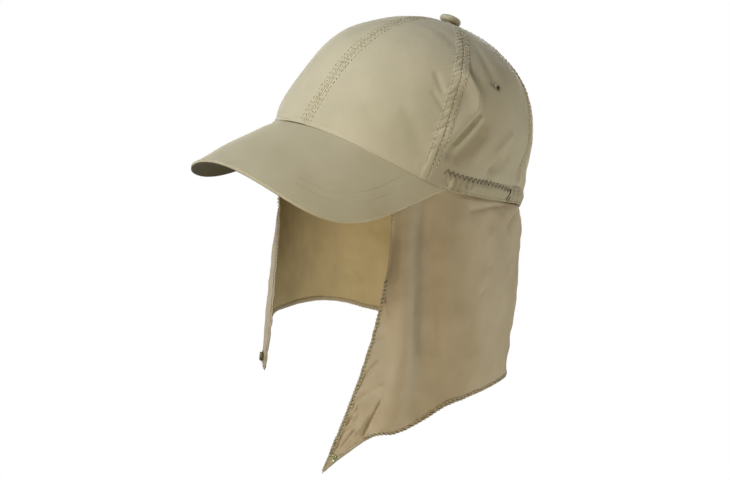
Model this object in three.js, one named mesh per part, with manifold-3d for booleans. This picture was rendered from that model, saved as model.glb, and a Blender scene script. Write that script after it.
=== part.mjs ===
// Cape hat: a six panel cloth cap with a stiff curved peak and a long cape that hangs
// from the rim. Millimetres and degrees. +Z is up, -Y is the wearer's front, +X the
// wearer's left. The origin is the middle of the head opening at the rim. The crown
// leans back as it is worn, so crown and peak are worked out in the crown's own
// upright frame first and then leaned.
import * as THREE from 'three';
import { mergeVertices } from 'three/addons/utils/BufferGeometryUtils.js';
import Module from 'manifold-3d';

const wasm = await Module();
wasm.setup();

// Driving dimensions
const CLOTH = 1.2;
const GAP = 0.3;
const CROWN = { halfWidth: 83, halfLength: 99.5, height: 110.6, lean: 25.3, forward: 5.8 };
const FULLNESS = {
  front: { across: 0.91, up: 0.87 },
  side: { across: 1.08, up: 0.51 },
  back: { across: 1.04, up: 0.79 },
};
const PEAK = {
  bend: 87, droop: 36.8, seatHeight: 5.2, reach: 70, end: 69.6, thick: 2.8, seat: 2.2,
  shoulder: { across: 92.8, out: 9.7 }, corner: { across: 109.5, out: 70 },
};
const RIM_RETURN = 35;
const TOP_HOLE = 4;
const RIDGE = { half: 4.2, shoulder: 1.1, height: 0.7 };
const BAND = { front: 70.6, height: 12, thick: 1.1, puff: 0.5, clear: 0.75, slack: 2.4 };
const TUCK = { height: 9, clear: 0.95 };
const HEM = { extra: 0.7 };
const BUTTON = { radius: 7, height: 4.4, shank: 1.9, shankLength: 4.2 };
const EYELET = { azimuth: 82.7, turn: 26.6, hole: 1.1, ring: 2.6, high: 0.6 };
const SNAP = { radius: 3.6, high: 1.5, post: 1.0 };

// Seams between panels, by azimuth from the front; the front seam bows to the left
const SEAMS = [
  { base: 1.2, bow: 8.5 },
  { base: 58.4, bow: 0 },
  { base: 119, bow: 0 },
  { base: 180, bow: 0 },
  { base: 241, bow: 0 },
  { base: 301.6, bow: 0 },
];
const PANEL_NAMES = [
  'crown_front_left', 'crown_side_left', 'crown_back_left',
  'crown_back_right', 'crown_side_right', 'crown_front_right',
];

// Slack of the crown: from and to (azimuth, turn up the panel), width and depth; where
// the depth is negative the cloth puffs out
const FOLDS = [
  { from: [70, 12], to: [63, 3.5], wide: 7, deep: 2.0 },
  { from: [78, 8], to: [70, 2.5], wide: 7, deep: 1.6 },
  { from: [101, 5], to: [90, 1.2], wide: 8, deep: 1.8 },
  { from: [66, 52], to: [79, 30], wide: 8, deep: 1.4 },
  { from: [38, 14], to: [52, 2.5], wide: 8, deep: 1.2 },
  { from: [-66, 12], to: [-74, 3], wide: 8, deep: 1.8 },
  { from: [-98, 6], to: [-88, 1.5], wide: 8, deep: 1.6 },
  { from: [-42, 14], to: [-52, 3], wide: 8, deep: 1.2 },
  { from: [-6, 2], to: [-34, 5], wide: 26, deep: -2.2 },
  { from: [-12, 34], to: [-34, 42], wide: 40, deep: -2.4 },
];

// Hang lines of the cape, from its left front edge round the back to the right one.
// rim: azimuth where the line leaves the rim. The rest are azimuth and distance from
// the middle a third and two thirds of the way down and at the hem, and the hem's height.
const DRAPE = [
  { rim: 40, upper: [41.9, 90], lower: [29.8, 97], hem: [14.8, 98.5], z: -200.5 },
  { rim: 45, upper: [45, 91], lower: [36, 98.5], hem: [22, 99.5], z: -190 },
  { rim: 50, upper: [49, 91], lower: [43.5, 98.5], hem: [30.5, 99.5], z: -177 },
  { rim: 55, upper: [53, 90.5], lower: [48.6, 98.5], hem: [38.5, 100], z: -165.5 },
  { rim: 61, upper: [58, 89.5], lower: [54, 95], hem: [46, 97.5], z: -162.5 },
  { rim: 67, upper: [64, 90], lower: [60, 93.5], hem: [54.5, 95.5], z: -159.5 },
  { rim: 75, upper: [73, 92], lower: [71, 96.5], hem: [66, 97.5], z: -149 },
  { rim: 86, upper: [85, 93], lower: [84, 96.5], hem: [80, 96], z: -143.5 },
  { rim: 98, upper: [98, 91.5], lower: [98, 93], hem: [96, 93.5], z: -144 },
  { rim: 112, upper: [112, 91.5], lower: [113, 91], hem: [113, 88.5], z: -150 },
  { rim: 128, upper: [128, 92.5], lower: [129, 89.5], hem: [129, 86], z: -158 },
  { rim: 145, upper: [145, 91], lower: [146, 88], hem: [147, 85], z: -161 },
  { rim: 163, upper: [163, 92], lower: [164, 91], hem: [165, 90], z: -160 },
  { rim: 180, upper: [180, 90.5], lower: [180, 88], hem: [180, 86.5], z: -158 },
  { rim: 197, upper: [197, 91.5], lower: [197, 90.5], hem: [197, 90], z: -155 },
  { rim: 215, upper: [215, 91], lower: [215, 89], hem: [215, 88], z: -151 },
  { rim: 233, upper: [234, 91.5], lower: [235, 90.5], hem: [236, 90], z: -146 },
  { rim: 249, upper: [250, 91.5], lower: [251, 94], hem: [252, 94.5], z: -137.5 },
  { rim: 263, upper: [263, 92], lower: [264, 95.5], hem: [264, 96.5], z: -132.5 },
  { rim: 275, upper: [276, 91], lower: [277, 95], hem: [278, 96.5], z: -129 },
  { rim: 286, upper: [288, 90], lower: [289, 94.5], hem: [290, 96.5], z: -126 },
  { rim: 295, upper: [298, 89], lower: [300, 94.5], hem: [300.5, 97], z: -123.5 },
  { rim: 303, upper: [305, 89], lower: [308.5, 95.5], hem: [309, 98.5], z: -131 },
  { rim: 309, upper: [311, 89], lower: [315, 96.5], hem: [315.5, 103.5], z: -142 },
  { rim: 315, upper: [316, 88], lower: [322, 95], hem: [321.5, 102.5], z: -151 },
  { rim: 320, upper: [319.5, 87.5], lower: [328, 92.5], hem: [326, 98.5], z: -154 },
];

const rad = THREE.MathUtils.degToRad;
const clamp = THREE.MathUtils.clamp;
const smooth = THREE.MathUtils.smoothstep;
const EDGE_TURN = Math.acos(TOP_HOLE / CROWN.halfLength);

// Turns a point from the crown's upright frame to the part's frame
function lean(point) {
  return point.applyAxisAngle(new THREE.Vector3(1, 0, 0), -rad(CROWN.lean));
}

function rimRadius(az) {
  return Math.hypot(Math.sin(az) / CROWN.halfWidth, Math.cos(az) / CROWN.halfLength) ** -1;
}

// The peak's top face is part of a cylinder whose axis points forward and down.
// peakPlace gives the place of a plan point on it, peakPoint the point of a place.
function peakPlace(x, y) {
  const bent = Math.asin(clamp(x / PEAK.bend, -1, 1));
  const drop = PEAK.bend * (1 - Math.cos(bent));
  const droop = rad(PEAK.droop);
  const out = (drop * Math.sin(droop) - CROWN.halfLength - y) / Math.cos(droop);
  return { across: bent * PEAK.bend, out };
}

function peakPoint(across, out, below = 0) {
  const bent = across / PEAK.bend;
  const droop = rad(PEAK.droop);
  const radius = PEAK.bend - below;
  const drop = PEAK.bend - radius * Math.cos(bent);
  return new THREE.Vector3(
    radius * Math.sin(bent),
    -CROWN.halfLength - out * Math.cos(droop) + drop * Math.sin(droop),
    PEAK.seatHeight - out * Math.sin(droop) - drop * Math.cos(droop),
  );
}

// Height of the rim above the crown's base plane: it follows the peak in front and
// returns to the base plane behind the peak's ends
function rimHeight(az) {
  const turn = Math.abs(THREE.MathUtils.euclideanModulo(az + Math.PI, 2 * Math.PI) - Math.PI);
  const seated = Math.min(turn, rad(PEAK.end));
  const radius = rimRadius(seated);
  const place = peakPlace(radius * Math.sin(seated), -radius * Math.cos(seated));
  const seatZ = peakPoint(place.across, place.out).z;
  return seatZ * (1 - smooth(turn, rad(PEAK.end), rad(PEAK.end + RIM_RETURN)));
}

// Mixes the three fullness rows by azimuth
function fullness(az, key) {
  const front = Math.max(Math.cos(az), 0) ** 2;
  const back = Math.max(-Math.cos(az), 0) ** 2;
  const side = FULLNESS.side[key];
  return side + (FULLNESS.front[key] - side) * front + (FULLNESS.back[key] - side) * back;
}

// A point of the smooth crown in its upright frame; turn runs from 0 at the rim up
function crownSmooth(az, turn) {
  const radius = rimRadius(az) * Math.cos(turn) ** fullness(az, 'across');
  const base = rimHeight(az);
  const z = base + (CROWN.height - base) * Math.max(Math.sin(turn), 0) ** fullness(az, 'up');
  return new THREE.Vector3(
    radius * Math.sin(az),
    -radius * Math.cos(az) + CROWN.forward * (z / CROWN.height),
    z,
  );
}

function crownNormal(az, turn) {
  const step = 0.01;
  const t = clamp(turn, 0.03, EDGE_TURN - 0.01);
  const along = crownSmooth(az + step, t).sub(crownSmooth(az - step, t));
  const up = crownSmooth(az, t + step).sub(crownSmooth(az, t - step));
  return along.cross(up).normalize();
}

// The turn at which the crown's wall is a given height above the rim
function turnAtHeight(az, height) {
  const rise = clamp(height / (CROWN.height - rimHeight(az)), 0, 1);
  return Math.asin(rise ** (1 / fullness(az, 'up')));
}

// Depth of the slack folds at a place on the crown
function foldDepth(az, turn) {
  const here = crownSmooth(az, turn);
  let deep = 0;
  for (const fold of FOLDS) {
    const [from, to] = [fold.from, fold.to].map(([a, t]) => crownSmooth(rad(a), rad(t)));
    const line = new THREE.Line3(from, to);
    const nearest = line.closestPointToPoint(here, true, new THREE.Vector3());
    deep += fold.deep * Math.exp(-((here.distanceTo(nearest) / fold.wide) ** 2) * 2);
  }
  return deep;
}

function crownPoint(az, turn, raise) {
  return crownSmooth(az, turn).addScaledVector(crownNormal(az, turn), raise);
}

// A closed wall between two grids of points of the same size
function wall(columns, rows, outer, inner) {
  const points = [];
  const faces = [];
  for (const side of [outer, inner]) {
    for (let i = 0; i < columns; i += 1) {
      for (let j = 0; j < rows; j += 1) points.push(...side(i, j).toArray());
    }
  }
  const at = (side, i, j) => (side * columns + i) * rows + j;
  const quad = (a, b, c, d) => faces.push(a, b, c, a, c, d);
  for (let i = 0; i + 1 < columns; i += 1) {
    for (let j = 0; j + 1 < rows; j += 1) {
      quad(at(0, i, j), at(0, i + 1, j), at(0, i + 1, j + 1), at(0, i, j + 1));
      quad(at(1, i, j), at(1, i, j + 1), at(1, i + 1, j + 1), at(1, i + 1, j));
    }
    quad(at(0, i + 1, 0), at(0, i, 0), at(1, i, 0), at(1, i + 1, 0));
    quad(at(0, i, rows - 1), at(0, i + 1, rows - 1), at(1, i + 1, rows - 1), at(1, i, rows - 1));
  }
  for (let j = 0; j + 1 < rows; j += 1) {
    quad(at(0, 0, j), at(0, 0, j + 1), at(1, 0, j + 1), at(1, 0, j));
    const last = columns - 1;
    quad(at(0, last, j + 1), at(0, last, j), at(1, last, j), at(1, last, j + 1));
  }
  const geometry = new THREE.BufferGeometry();
  geometry.setAttribute('position', new THREE.Float32BufferAttribute(points, 3));
  geometry.setIndex(faces);
  return facingOut(geometry);
}

// Turns a closed mesh right side out where its volume comes out negative
function facingOut(geometry) {
  const place = geometry.getAttribute('position');
  const index = geometry.getIndex();
  const corner = [new THREE.Vector3(), new THREE.Vector3(), new THREE.Vector3()];
  let volume = 0;
  for (let i = 0; i < index.count; i += 3) {
    corner.forEach((c, k) => c.fromBufferAttribute(place, index.getX(i + k)));
    volume += corner[0].dot(corner[1].cross(corner[2]));
  }
  if (volume < 0) {
    for (let i = 0; i < index.count; i += 3) {
      const second = index.getX(i + 1);
      index.setX(i + 1, index.getX(i + 2));
      index.setX(i + 2, second);
    }
  }
  return geometry;
}

function bare(geometry) {
  geometry.deleteAttribute('normal');
  geometry.deleteAttribute('uv');
  return mergeVertices(geometry, 1e-4);
}

function toSolid(geometry) {
  return new wasm.Manifold(new wasm.Mesh({
    numProp: 3,
    vertProperties: new Float32Array(geometry.getAttribute('position').array),
    triVerts: new Uint32Array(geometry.getIndex().array),
  }));
}

function fromSolid(solid) {
  const mesh = solid.getMesh();
  const geometry = new THREE.BufferGeometry();
  geometry.setAttribute('position', new THREE.Float32BufferAttribute(mesh.vertProperties, 3));
  geometry.setIndex(new THREE.Uint32BufferAttribute(mesh.triVerts, 1));
  return geometry;
}

// Drills a round hole through a wall, along a direction
function drill(geometry, seat, radius) {
  const drillBit = bare(new THREE.CylinderGeometry(radius, radius, 12, 10));
  drillBit.rotateX(Math.PI / 2);
  drillBit.applyMatrix4(seat);
  return fromSolid(toSolid(geometry).subtract(toSolid(drillBit)));
}

// A seat matrix: local +Z along the outward direction, origin at the point
function seatAt(point, outward) {
  const turn = new THREE.Quaternion().setFromUnitVectors(new THREE.Vector3(0, 0, 1), outward);
  return new THREE.Matrix4().compose(point, turn, new THREE.Vector3(1, 1, 1));
}

// Crown panels
const PANEL_ROWS = 12;
const PANEL_SPANS = 6;

function seamAzimuth(seam, turn) {
  return rad(seam.base + seam.bow * Math.sin(turn));
}

// Fractions across a panel of a given width: the seam ridges, then even spans
function panelFractions(width) {
  const ridge = Math.min(RIDGE.half, width * 0.3);
  const shoulder = Math.min(ridge + RIDGE.shoulder, width * 0.36);
  const fractions = [0, ridge / width];
  for (let k = 0; k <= PANEL_SPANS; k += 1) {
    fractions.push((shoulder + ((width - 2 * shoulder) * k) / PANEL_SPANS) / width);
  }
  fractions.push(1 - ridge / width, 1);
  return fractions;
}

// The seam ridge runs out where the band covers the lower edge
function ridgeHeight(az, turn) {
  const above = crownSmooth(az, turn).z - rimHeight(az);
  const underBand = Math.cos(az) < Math.cos(rad(BAND.front - 4));
  return RIDGE.height * (underBand ? smooth(above, BAND.height + 1, BAND.height + 5) : 1);
}

function crownPanel(index) {
  const left = SEAMS[index];
  const right = SEAMS[(index + 1) % SEAMS.length];
  const wrap = index + 1 === SEAMS.length ? 2 * Math.PI : 0;
  const columns = PANEL_SPANS + 5;
  const place = (i, j) => {
    const turn = EDGE_TURN * (j / (PANEL_ROWS - 1)) ** 1.6;
    const azA = seamAzimuth(left, turn);
    const azB = seamAzimuth(right, turn) + wrap;
    const radius = rimRadius(azA) * Math.cos(turn);
    const trim = GAP / 2 / radius + 0.001;
    const width = radius * (azB - azA - 2 * trim);
    const fraction = panelFractions(width)[i];
    const az = azA + trim + fraction * (azB - azA - 2 * trim);
    const onRidge = i < 2 || i > columns - 3;
    const raised = onRidge ? ridgeHeight(az, turn) : 0;
    return { az, turn, raised, lift: j === 0 ? GAP + 0.05 : 0 };
  };
  const outer = (i, j) => {
    const { az, turn, raised, lift } = place(i, j);
    const point = crownPoint(az, turn, raised - foldDepth(az, turn));
    point.z += lift;
    return lean(point);
  };
  const inner = (i, j) => {
    const { az, turn, lift } = place(i, j);
    const point = crownPoint(az, turn, -CLOTH - foldDepth(az, turn));
    point.z += lift;
    return lean(point);
  };
  return wall(columns, PANEL_ROWS, outer, inner);
}

// Eyelets: a hole through the side panel with a sewn ring round it
function eyeletSeat(sign) {
  const az = rad(sign * EYELET.azimuth);
  const turn = rad(EYELET.turn);
  const point = lean(crownPoint(az, turn, -foldDepth(az, turn)));
  return seatAt(point, lean(crownNormal(az, turn)));
}

function eyeletRing(sign) {
  const middle = (EYELET.ring + EYELET.hole + GAP) / 2;
  const half = (EYELET.ring - EYELET.hole - GAP) / 2;
  const base = GAP + 0.15;
  const profile = [
    [middle - half, base], [middle + half, base],
    [middle + half * 0.5, base + EYELET.high], [middle - half * 0.5, base + EYELET.high],
    [middle - half, base],
  ].map(([x, y]) => new THREE.Vector2(x, y));
  const ring = bare(new THREE.LatheGeometry(profile, 14));
  ring.rotateX(Math.PI / 2);
  return facingOut(ring.applyMatrix4(eyeletSeat(sign)));
}

// Covered button with its shank through the hole where the panels meet
function topButton() {
  const seat = 1.3;
  const { radius, height, shank, shankLength } = BUTTON;
  const profile = [
    [0, -shankLength], [shank, -shankLength], [shank, seat],
    [radius * 0.86, seat], [radius, seat + height * 0.25], [radius * 0.93, seat + height * 0.6],
    [radius * 0.62, seat + height * 0.92], [0, seat + height],
  ].map(([x, y]) => new THREE.Vector2(x, y));
  const button = bare(new THREE.LatheGeometry(profile, 20));
  button.rotateX(Math.PI / 2);
  const top = new THREE.Vector3(0, CROWN.forward, CROWN.height);
  button.applyMatrix4(seatAt(lean(top), lean(new THREE.Vector3(0, 0, 1))));
  return facingOut(button);
}

// Peak: from its seat under the crown's edge to the curved outer edge
const PEAK_COLUMNS = 37;
const PEAK_STEPS = [0, 0.045, 0.25, 0.5, 0.75, 0.93, 1];

function peakOutline(side) {
  const t = 1 - Math.abs(side);
  const radius = rimRadius(rad(PEAK.end));
  const end = peakPlace(radius * Math.sin(rad(PEAK.end)), -radius * Math.cos(rad(PEAK.end)));
  const weights = [(1 - t) ** 3, 3 * t * (1 - t) ** 2, 3 * t * t * (1 - t), t ** 3];
  const across = weights[0] * end.across + weights[1] * PEAK.shoulder.across
    + weights[2] * PEAK.corner.across;
  const out = weights[0] * end.out + weights[1] * PEAK.shoulder.out
    + weights[2] * PEAK.corner.out + weights[3] * PEAK.reach;
  return { across: across * Math.sign(side), out };
}

function peakGeometry() {
  const steps = PEAK_STEPS.length;
  const place = (i, j) => {
    const side = -1 + (2 * i) / (PEAK_COLUMNS - 1);
    const az = rad(PEAK.end) * side;
    const radius = rimRadius(az) + (j === 0 ? -PEAK.seat : GAP);
    const inner = peakPlace(radius * Math.sin(az), -radius * Math.cos(az));
    const edge = peakOutline(side);
    const step = PEAK_STEPS[j];
    return {
      az,
      across: inner.across + (edge.across - inner.across) * step,
      out: inner.out + (edge.out - inner.out) * step,
      round: j === steps - 1 ? PEAK.thick * 0.3 : 0,
    };
  };
  const top = (i, j) => {
    const { az, across, out, round } = place(i, j);
    const point = peakPoint(across, out, round);
    if (j === 0) point.z = rimHeight(az);
    return lean(point);
  };
  const under = (i, j) => {
    const { az, across, out, round } = place(i, j);
    if (j > 0) return lean(peakPoint(across, out, PEAK.thick - round));
    const point = peakPoint(across, out);
    point.z = rimHeight(az) - PEAK.thick;
    return lean(point);
  };
  return wall(PEAK_COLUMNS, steps, top, under);
}

// Band along the lower edge behind the peak, gathered towards its front ends
const BAND_COLUMNS = 61;
const BAND_ROWS = [0.04, 0.35, 0.75, 1];

function bandGathers(az) {
  const fromEnd = Math.abs(Math.PI - az) / rad(180 - BAND.front);
  return smooth(fromEnd, 0.55, 0.95) * 0.7 * Math.cos(az * 60);
}

// The band stands off the head a little where the back panels start
function bandSlack(az) {
  const fromBack = Math.abs(Math.PI - az);
  return BAND.slack * Math.exp(-(((fromBack - rad(50)) / rad(20)) ** 2));
}

function sideBand() {
  const place = (i, j) => {
    const az = rad(BAND.front + ((360 - 2 * BAND.front) * i) / (BAND_COLUMNS - 1));
    const turn = turnAtHeight(az, BAND.height * BAND_ROWS[j]);
    const puff = BAND.puff * Math.sin(Math.PI * BAND_ROWS[j]) + bandSlack(az);
    return { az, turn, puff };
  };
  const outer = (i, j) => {
    const { az, turn, puff } = place(i, j);
    const raise = BAND.clear + BAND.thick + puff + Math.max(bandGathers(az), -BAND.thick * 0.3);
    return lean(crownPoint(az, turn, raise - foldDepth(az, turn)));
  };
  const inner = (i, j) => {
    const { az, turn } = place(i, j);
    const raise = BAND.clear + bandSlack(az) * (1 - BAND_ROWS[j]);
    return lean(crownPoint(az, turn, raise - foldDepth(az, turn)));
  };
  return wall(BAND_COLUMNS, BAND_ROWS.length, outer, inner);
}

// Cape
const CAPE_COLUMNS = 66;
const CAPE_ROWS = 14;

function polar([degrees, distance], z) {
  return new THREE.Vector3(distance * Math.sin(rad(degrees)), -distance * Math.cos(rad(degrees)), z);
}

// The place inside the rim where a hang line starts, a height above the rim
function capeSeat(degrees, height) {
  const az = rad(degrees);
  const onPeak = smooth(Math.cos(az), Math.cos(rad(PEAK.end + 12)), Math.cos(rad(PEAK.end)));
  const inset = CLOTH + TUCK.clear + onPeak * (PEAK.seat - CLOTH);
  const turn = turnAtHeight(az, height);
  return lean(crownPoint(az, turn, -inset - foldDepth(az, turn)));
}

// The four points that each hang line passes: rim, upper, lower, hem
const HANG_LINES = DRAPE.map((row) => {
  const rim = capeSeat(row.rim, 0);
  const level = (share) => rim.z + (row.z - rim.z) * share;
  return [rim, polar(row.upper, level(1 / 3)), polar(row.lower, level(2 / 3)), polar(row.hem, row.z)];
});

// A smooth value through a list at a place counted in rows
function along(list, place) {
  const k = clamp(Math.floor(place), 0, list.length - 2);
  const f = place - k;
  const [a, b, c, d] = [k - 1, k, k + 1, k + 2].map((n) => list[clamp(n, 0, list.length - 1)]);
  const weights = [
    (-f + 2 * f * f - f * f * f) / 2,
    (2 - 5 * f * f + 3 * f * f * f) / 2,
    (f + 4 * f * f - 3 * f * f * f) / 2,
    (f * f * f - f * f) / 2,
  ];
  const sum = new THREE.Vector3();
  [a, b, c, d].forEach((point, n) => sum.addScaledVector(point, weights[n]));
  return sum;
}

// A point on the cape's middle surface: across from 0 to 1, down from 0 at the rim to 1
function capePoint(across, down) {
  const place = across * (DRAPE.length - 1);
  const [rim, upper, lower, hem] = [0, 1, 2, 3].map((n) => along(HANG_LINES.map((l) => l[n]), place));
  const v = down * 3;
  return new THREE.Vector3()
    .addScaledVector(rim, ((1 - v) * (2 - v) * (3 - v)) / 6)
    .addScaledVector(upper, (v * (2 - v) * (3 - v)) / 2)
    .addScaledVector(lower, (v * (v - 1) * (3 - v)) / 2)
    .addScaledVector(hem, (v * (v - 1) * (v - 2)) / 6);
}

function capeNormal(across, down) {
  const step = 0.004;
  const a = clamp(across, step, 1 - step);
  const d = clamp(down, step, 1 - step);
  const run = capePoint(a + step, d).sub(capePoint(a - step, d));
  const fall = capePoint(a, d + step).sub(capePoint(a, d - step));
  return fall.cross(run).normalize();
}

// Shares across and down: even, with one more line just inside each hemmed edge
function sharesAcross() {
  const inset = 0.011;
  const shares = [0, inset];
  const even = CAPE_COLUMNS - 4;
  for (let k = 1; k <= even; k += 1) shares.push(inset + ((1 - 2 * inset) * k) / (even + 1));
  shares.push(1 - inset, 1);
  return shares;
}

function sharesDown() {
  const inset = 0.03;
  const shares = [];
  for (let k = 0; k < CAPE_ROWS - 1; k += 1) shares.push(((1 - inset) * k) / (CAPE_ROWS - 2));
  shares.push(1);
  return shares;
}

function capeSheet() {
  const across = sharesAcross();
  const down = sharesDown();
  const tucks = [TUCK.height, TUCK.height / 2];
  const rows = tucks.length + down.length;
  const seatDegrees = (share) => {
    const place = share * (DRAPE.length - 1);
    const list = DRAPE.map((row) => new THREE.Vector3(row.rim, 0, 0));
    return along(list, place).x;
  };
  const face = (sign) => (i, j) => {
    if (j < tucks.length) {
      const outside = capeSeat(seatDegrees(across[i]), tucks[j]);
      const inwards = new THREE.Vector3(outside.x, outside.y, 0).normalize().negate();
      return outside.addScaledVector(inwards, sign > 0 ? 0 : CLOTH);
    }
    const share = down[j - tucks.length];
    const edge = i < 1 || i > across.length - 2 || j === rows - 1;
    const half = edge ? HEM.extra / 2 : 0;
    const point = capePoint(across[i], share);
    const normal = capeNormal(across[i], share);
    return point.addScaledVector(normal, sign > 0 ? half : -CLOTH - half);
  };
  return wall(across.length, rows, face(1), face(-1));
}

// Press studs near the cape's corners: a cap with its post outside, a ring inside
const CORNERS = [
  { side: 'left', across: 0.028, down: 0.968, inner: 'snap_stud_left' },
  { side: 'right', across: 0.952, down: 0.965, inner: 'snap_socket_right' },
];

function snapSeat(corner) {
  const outward = capeNormal(corner.across, corner.down);
  return seatAt(capePoint(corner.across, corner.down), outward);
}

function snapCap(corner) {
  const clear = GAP + HEM.extra / 2;
  const back = CLOTH + GAP + 2 * clear + SNAP.high;
  const profile = [
    [0, -back], [SNAP.post, -back], [SNAP.post, clear], [SNAP.radius, clear],
    [SNAP.radius, clear + SNAP.high * 0.5], [SNAP.radius * 0.8, clear + SNAP.high],
    [SNAP.radius * 0.45, clear + SNAP.high * 0.8], [0, clear + SNAP.high * 0.7],
  ].map(([x, y]) => new THREE.Vector2(x, y));
  const cap = bare(new THREE.LatheGeometry(profile, 16));
  cap.rotateX(Math.PI / 2);
  return facingOut(cap.applyMatrix4(snapSeat(corner)));
}

function snapInner(corner) {
  const top = -CLOTH - GAP - HEM.extra / 2;
  const bottom = top - SNAP.high;
  const hole = SNAP.post + GAP;
  const profile = [
    [hole, top], [hole, bottom], [SNAP.radius * 0.6, bottom - 0.5], [SNAP.radius * 0.9, bottom],
    [SNAP.radius * 0.9, top], [hole, top],
  ].map(([x, y]) => new THREE.Vector2(x, y));
  const ring = bare(new THREE.LatheGeometry(profile, 16));
  ring.rotateX(Math.PI / 2);
  return facingOut(ring.applyMatrix4(snapSeat(corner)));
}

// Finishes
const cloth = () => new THREE.MeshStandardMaterial({ color: 0xb1a788, roughness: 0.9 });
const capeCloth = () => new THREE.MeshStandardMaterial({ color: 0xa39474, roughness: 0.9 });
const thread = () => new THREE.MeshStandardMaterial({ color: 0x8b8064, roughness: 0.95 });
const brass = () => new THREE.MeshStandardMaterial({ color: 0x6b6444, roughness: 0.45, metalness: 0.7 });

const hat = new THREE.Group();

function place(name, geometry, material) {
  geometry.computeVertexNormals();
  const mesh = new THREE.Mesh(geometry, material);
  mesh.name = name;
  hat.add(mesh);
}

PANEL_NAMES.forEach((name, index) => {
  let panel = crownPanel(index);
  if (name === 'crown_side_left') panel = drill(panel, eyeletSeat(1), EYELET.hole);
  if (name === 'crown_side_right') panel = drill(panel, eyeletSeat(-1), EYELET.hole);
  place(name, panel, cloth());
});
place('top_button', topButton(), cloth());
place('peak', peakGeometry(), cloth());
place('side_band', sideBand(), cloth());
place('eyelet_left', eyeletRing(1), thread());
place('eyelet_right', eyeletRing(-1), thread());

let cape = capeSheet();
for (const corner of CORNERS) cape = drill(cape, snapSeat(corner), SNAP.post + GAP);
place('cape', cape, capeCloth());
for (const corner of CORNERS) {
  place(`snap_cap_${corner.side}`, snapCap(corner), brass());
  place(corner.inner, snapInner(corner), brass());
}

export default hat;
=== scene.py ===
"""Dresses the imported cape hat: cloth, seams, stitches, hem, press studs, stage and camera.

Lengths are worked out in millimetres and become metres when a mesh is made. +Z is up, -Y is
the wearer's front, +X the wearer's left. Azimuths run from the front towards the left, in
degrees in the tables and in radians in the methods. Turn runs up the crown from its rim.
"""
import itertools
import logging
from dataclasses import dataclass
from enum import Enum
from functools import partial
from typing import Any, Iterable, Sequence

import bpy
import numpy as np
from mathutils import Matrix, Vector


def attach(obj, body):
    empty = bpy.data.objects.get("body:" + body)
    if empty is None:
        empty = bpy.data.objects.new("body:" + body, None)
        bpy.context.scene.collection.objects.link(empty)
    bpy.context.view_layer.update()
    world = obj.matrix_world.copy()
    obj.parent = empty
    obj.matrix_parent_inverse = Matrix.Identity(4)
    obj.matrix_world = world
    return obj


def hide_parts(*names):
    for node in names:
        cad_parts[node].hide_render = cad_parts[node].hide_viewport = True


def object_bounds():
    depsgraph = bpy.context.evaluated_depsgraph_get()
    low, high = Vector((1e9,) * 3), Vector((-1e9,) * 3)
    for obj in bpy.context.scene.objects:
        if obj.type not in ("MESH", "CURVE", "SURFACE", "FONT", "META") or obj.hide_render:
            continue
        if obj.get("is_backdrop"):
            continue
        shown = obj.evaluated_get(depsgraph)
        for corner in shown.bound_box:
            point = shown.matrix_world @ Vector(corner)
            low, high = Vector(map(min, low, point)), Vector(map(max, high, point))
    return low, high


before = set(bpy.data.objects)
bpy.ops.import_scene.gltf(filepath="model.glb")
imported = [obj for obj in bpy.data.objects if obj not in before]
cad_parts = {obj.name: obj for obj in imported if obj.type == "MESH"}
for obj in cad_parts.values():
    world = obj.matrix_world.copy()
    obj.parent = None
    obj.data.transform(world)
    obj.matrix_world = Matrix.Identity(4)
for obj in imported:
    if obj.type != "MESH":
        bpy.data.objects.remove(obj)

LOG = logging.getLogger("cape_hat")
MM = 0.001
Grid = np.ndarray
Pair = tuple[float, float]
Pairs = Sequence[Pair]
# Height, middle and width of a bump
Bump = tuple[float, float, float]
Piece = bpy.types.Object
Material = bpy.types.Material
NodeTree = bpy.types.NodeTree
# Size of the cap that closes a tube, as a share of its last ring
CAP_SHARE = 1e-3
STITCH_SEED = 7


class Slot(str, Enum):
    """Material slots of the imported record."""

    CROWN = "crown_cloth"
    PEAK = "peak_cloth"
    BAND = "band_cloth"
    BUTTON = "button_cloth"
    CAPE = "cape_cloth"
    THREAD = "eyelet_thread"
    METAL = "snap_metal"


# Number helpers


def smoothstep(value: Grid, low: float, high: float) -> Grid:
    """Goes from 0 at low to 1 at high without a kink."""
    share = np.clip((value - low) / (high - low), 0.0, 1.0)
    return share * share * (3.0 - 2.0 * share)


def bell(distance: Grid, width: float) -> Grid:
    """A bell curve of height 1 that has nearly faded at the given width."""
    return np.exp(-2.0 * (distance / width) ** 2)


def crease(distance: Grid, width: float) -> Grid:
    """A sharp crest of height 1 that has nearly faded at the given width."""
    return np.exp(-2.4 * distance / width)


def bump(value: Grid, height: float, middle: float, width: float) -> Grid:
    """A bell curve of the given height round a middle."""
    return height * bell(value - middle, width)


def between(value: Grid, stops: Sequence[float]) -> Grid:
    """Grows from 0 to 1 between the first two stops and fades between the last two."""
    return smoothstep(value, *stops[:2]) * (1 - smoothstep(value, *stops[2:]))


def joined(*values: Grid) -> Grid:
    """Puts numbers side by side on a new last axis."""
    return np.stack(values, axis=-1)


def wrapped(angle: Grid) -> Grid:
    """The angle moved to between minus and plus half a circle."""
    return (angle + np.pi) % (2.0 * np.pi) - np.pi


def unit(vectors: Grid) -> Grid:
    """The vectors with length 1."""
    return vectors / np.maximum(np.linalg.norm(vectors, axis=-1, keepdims=True), 1e-9)


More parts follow.
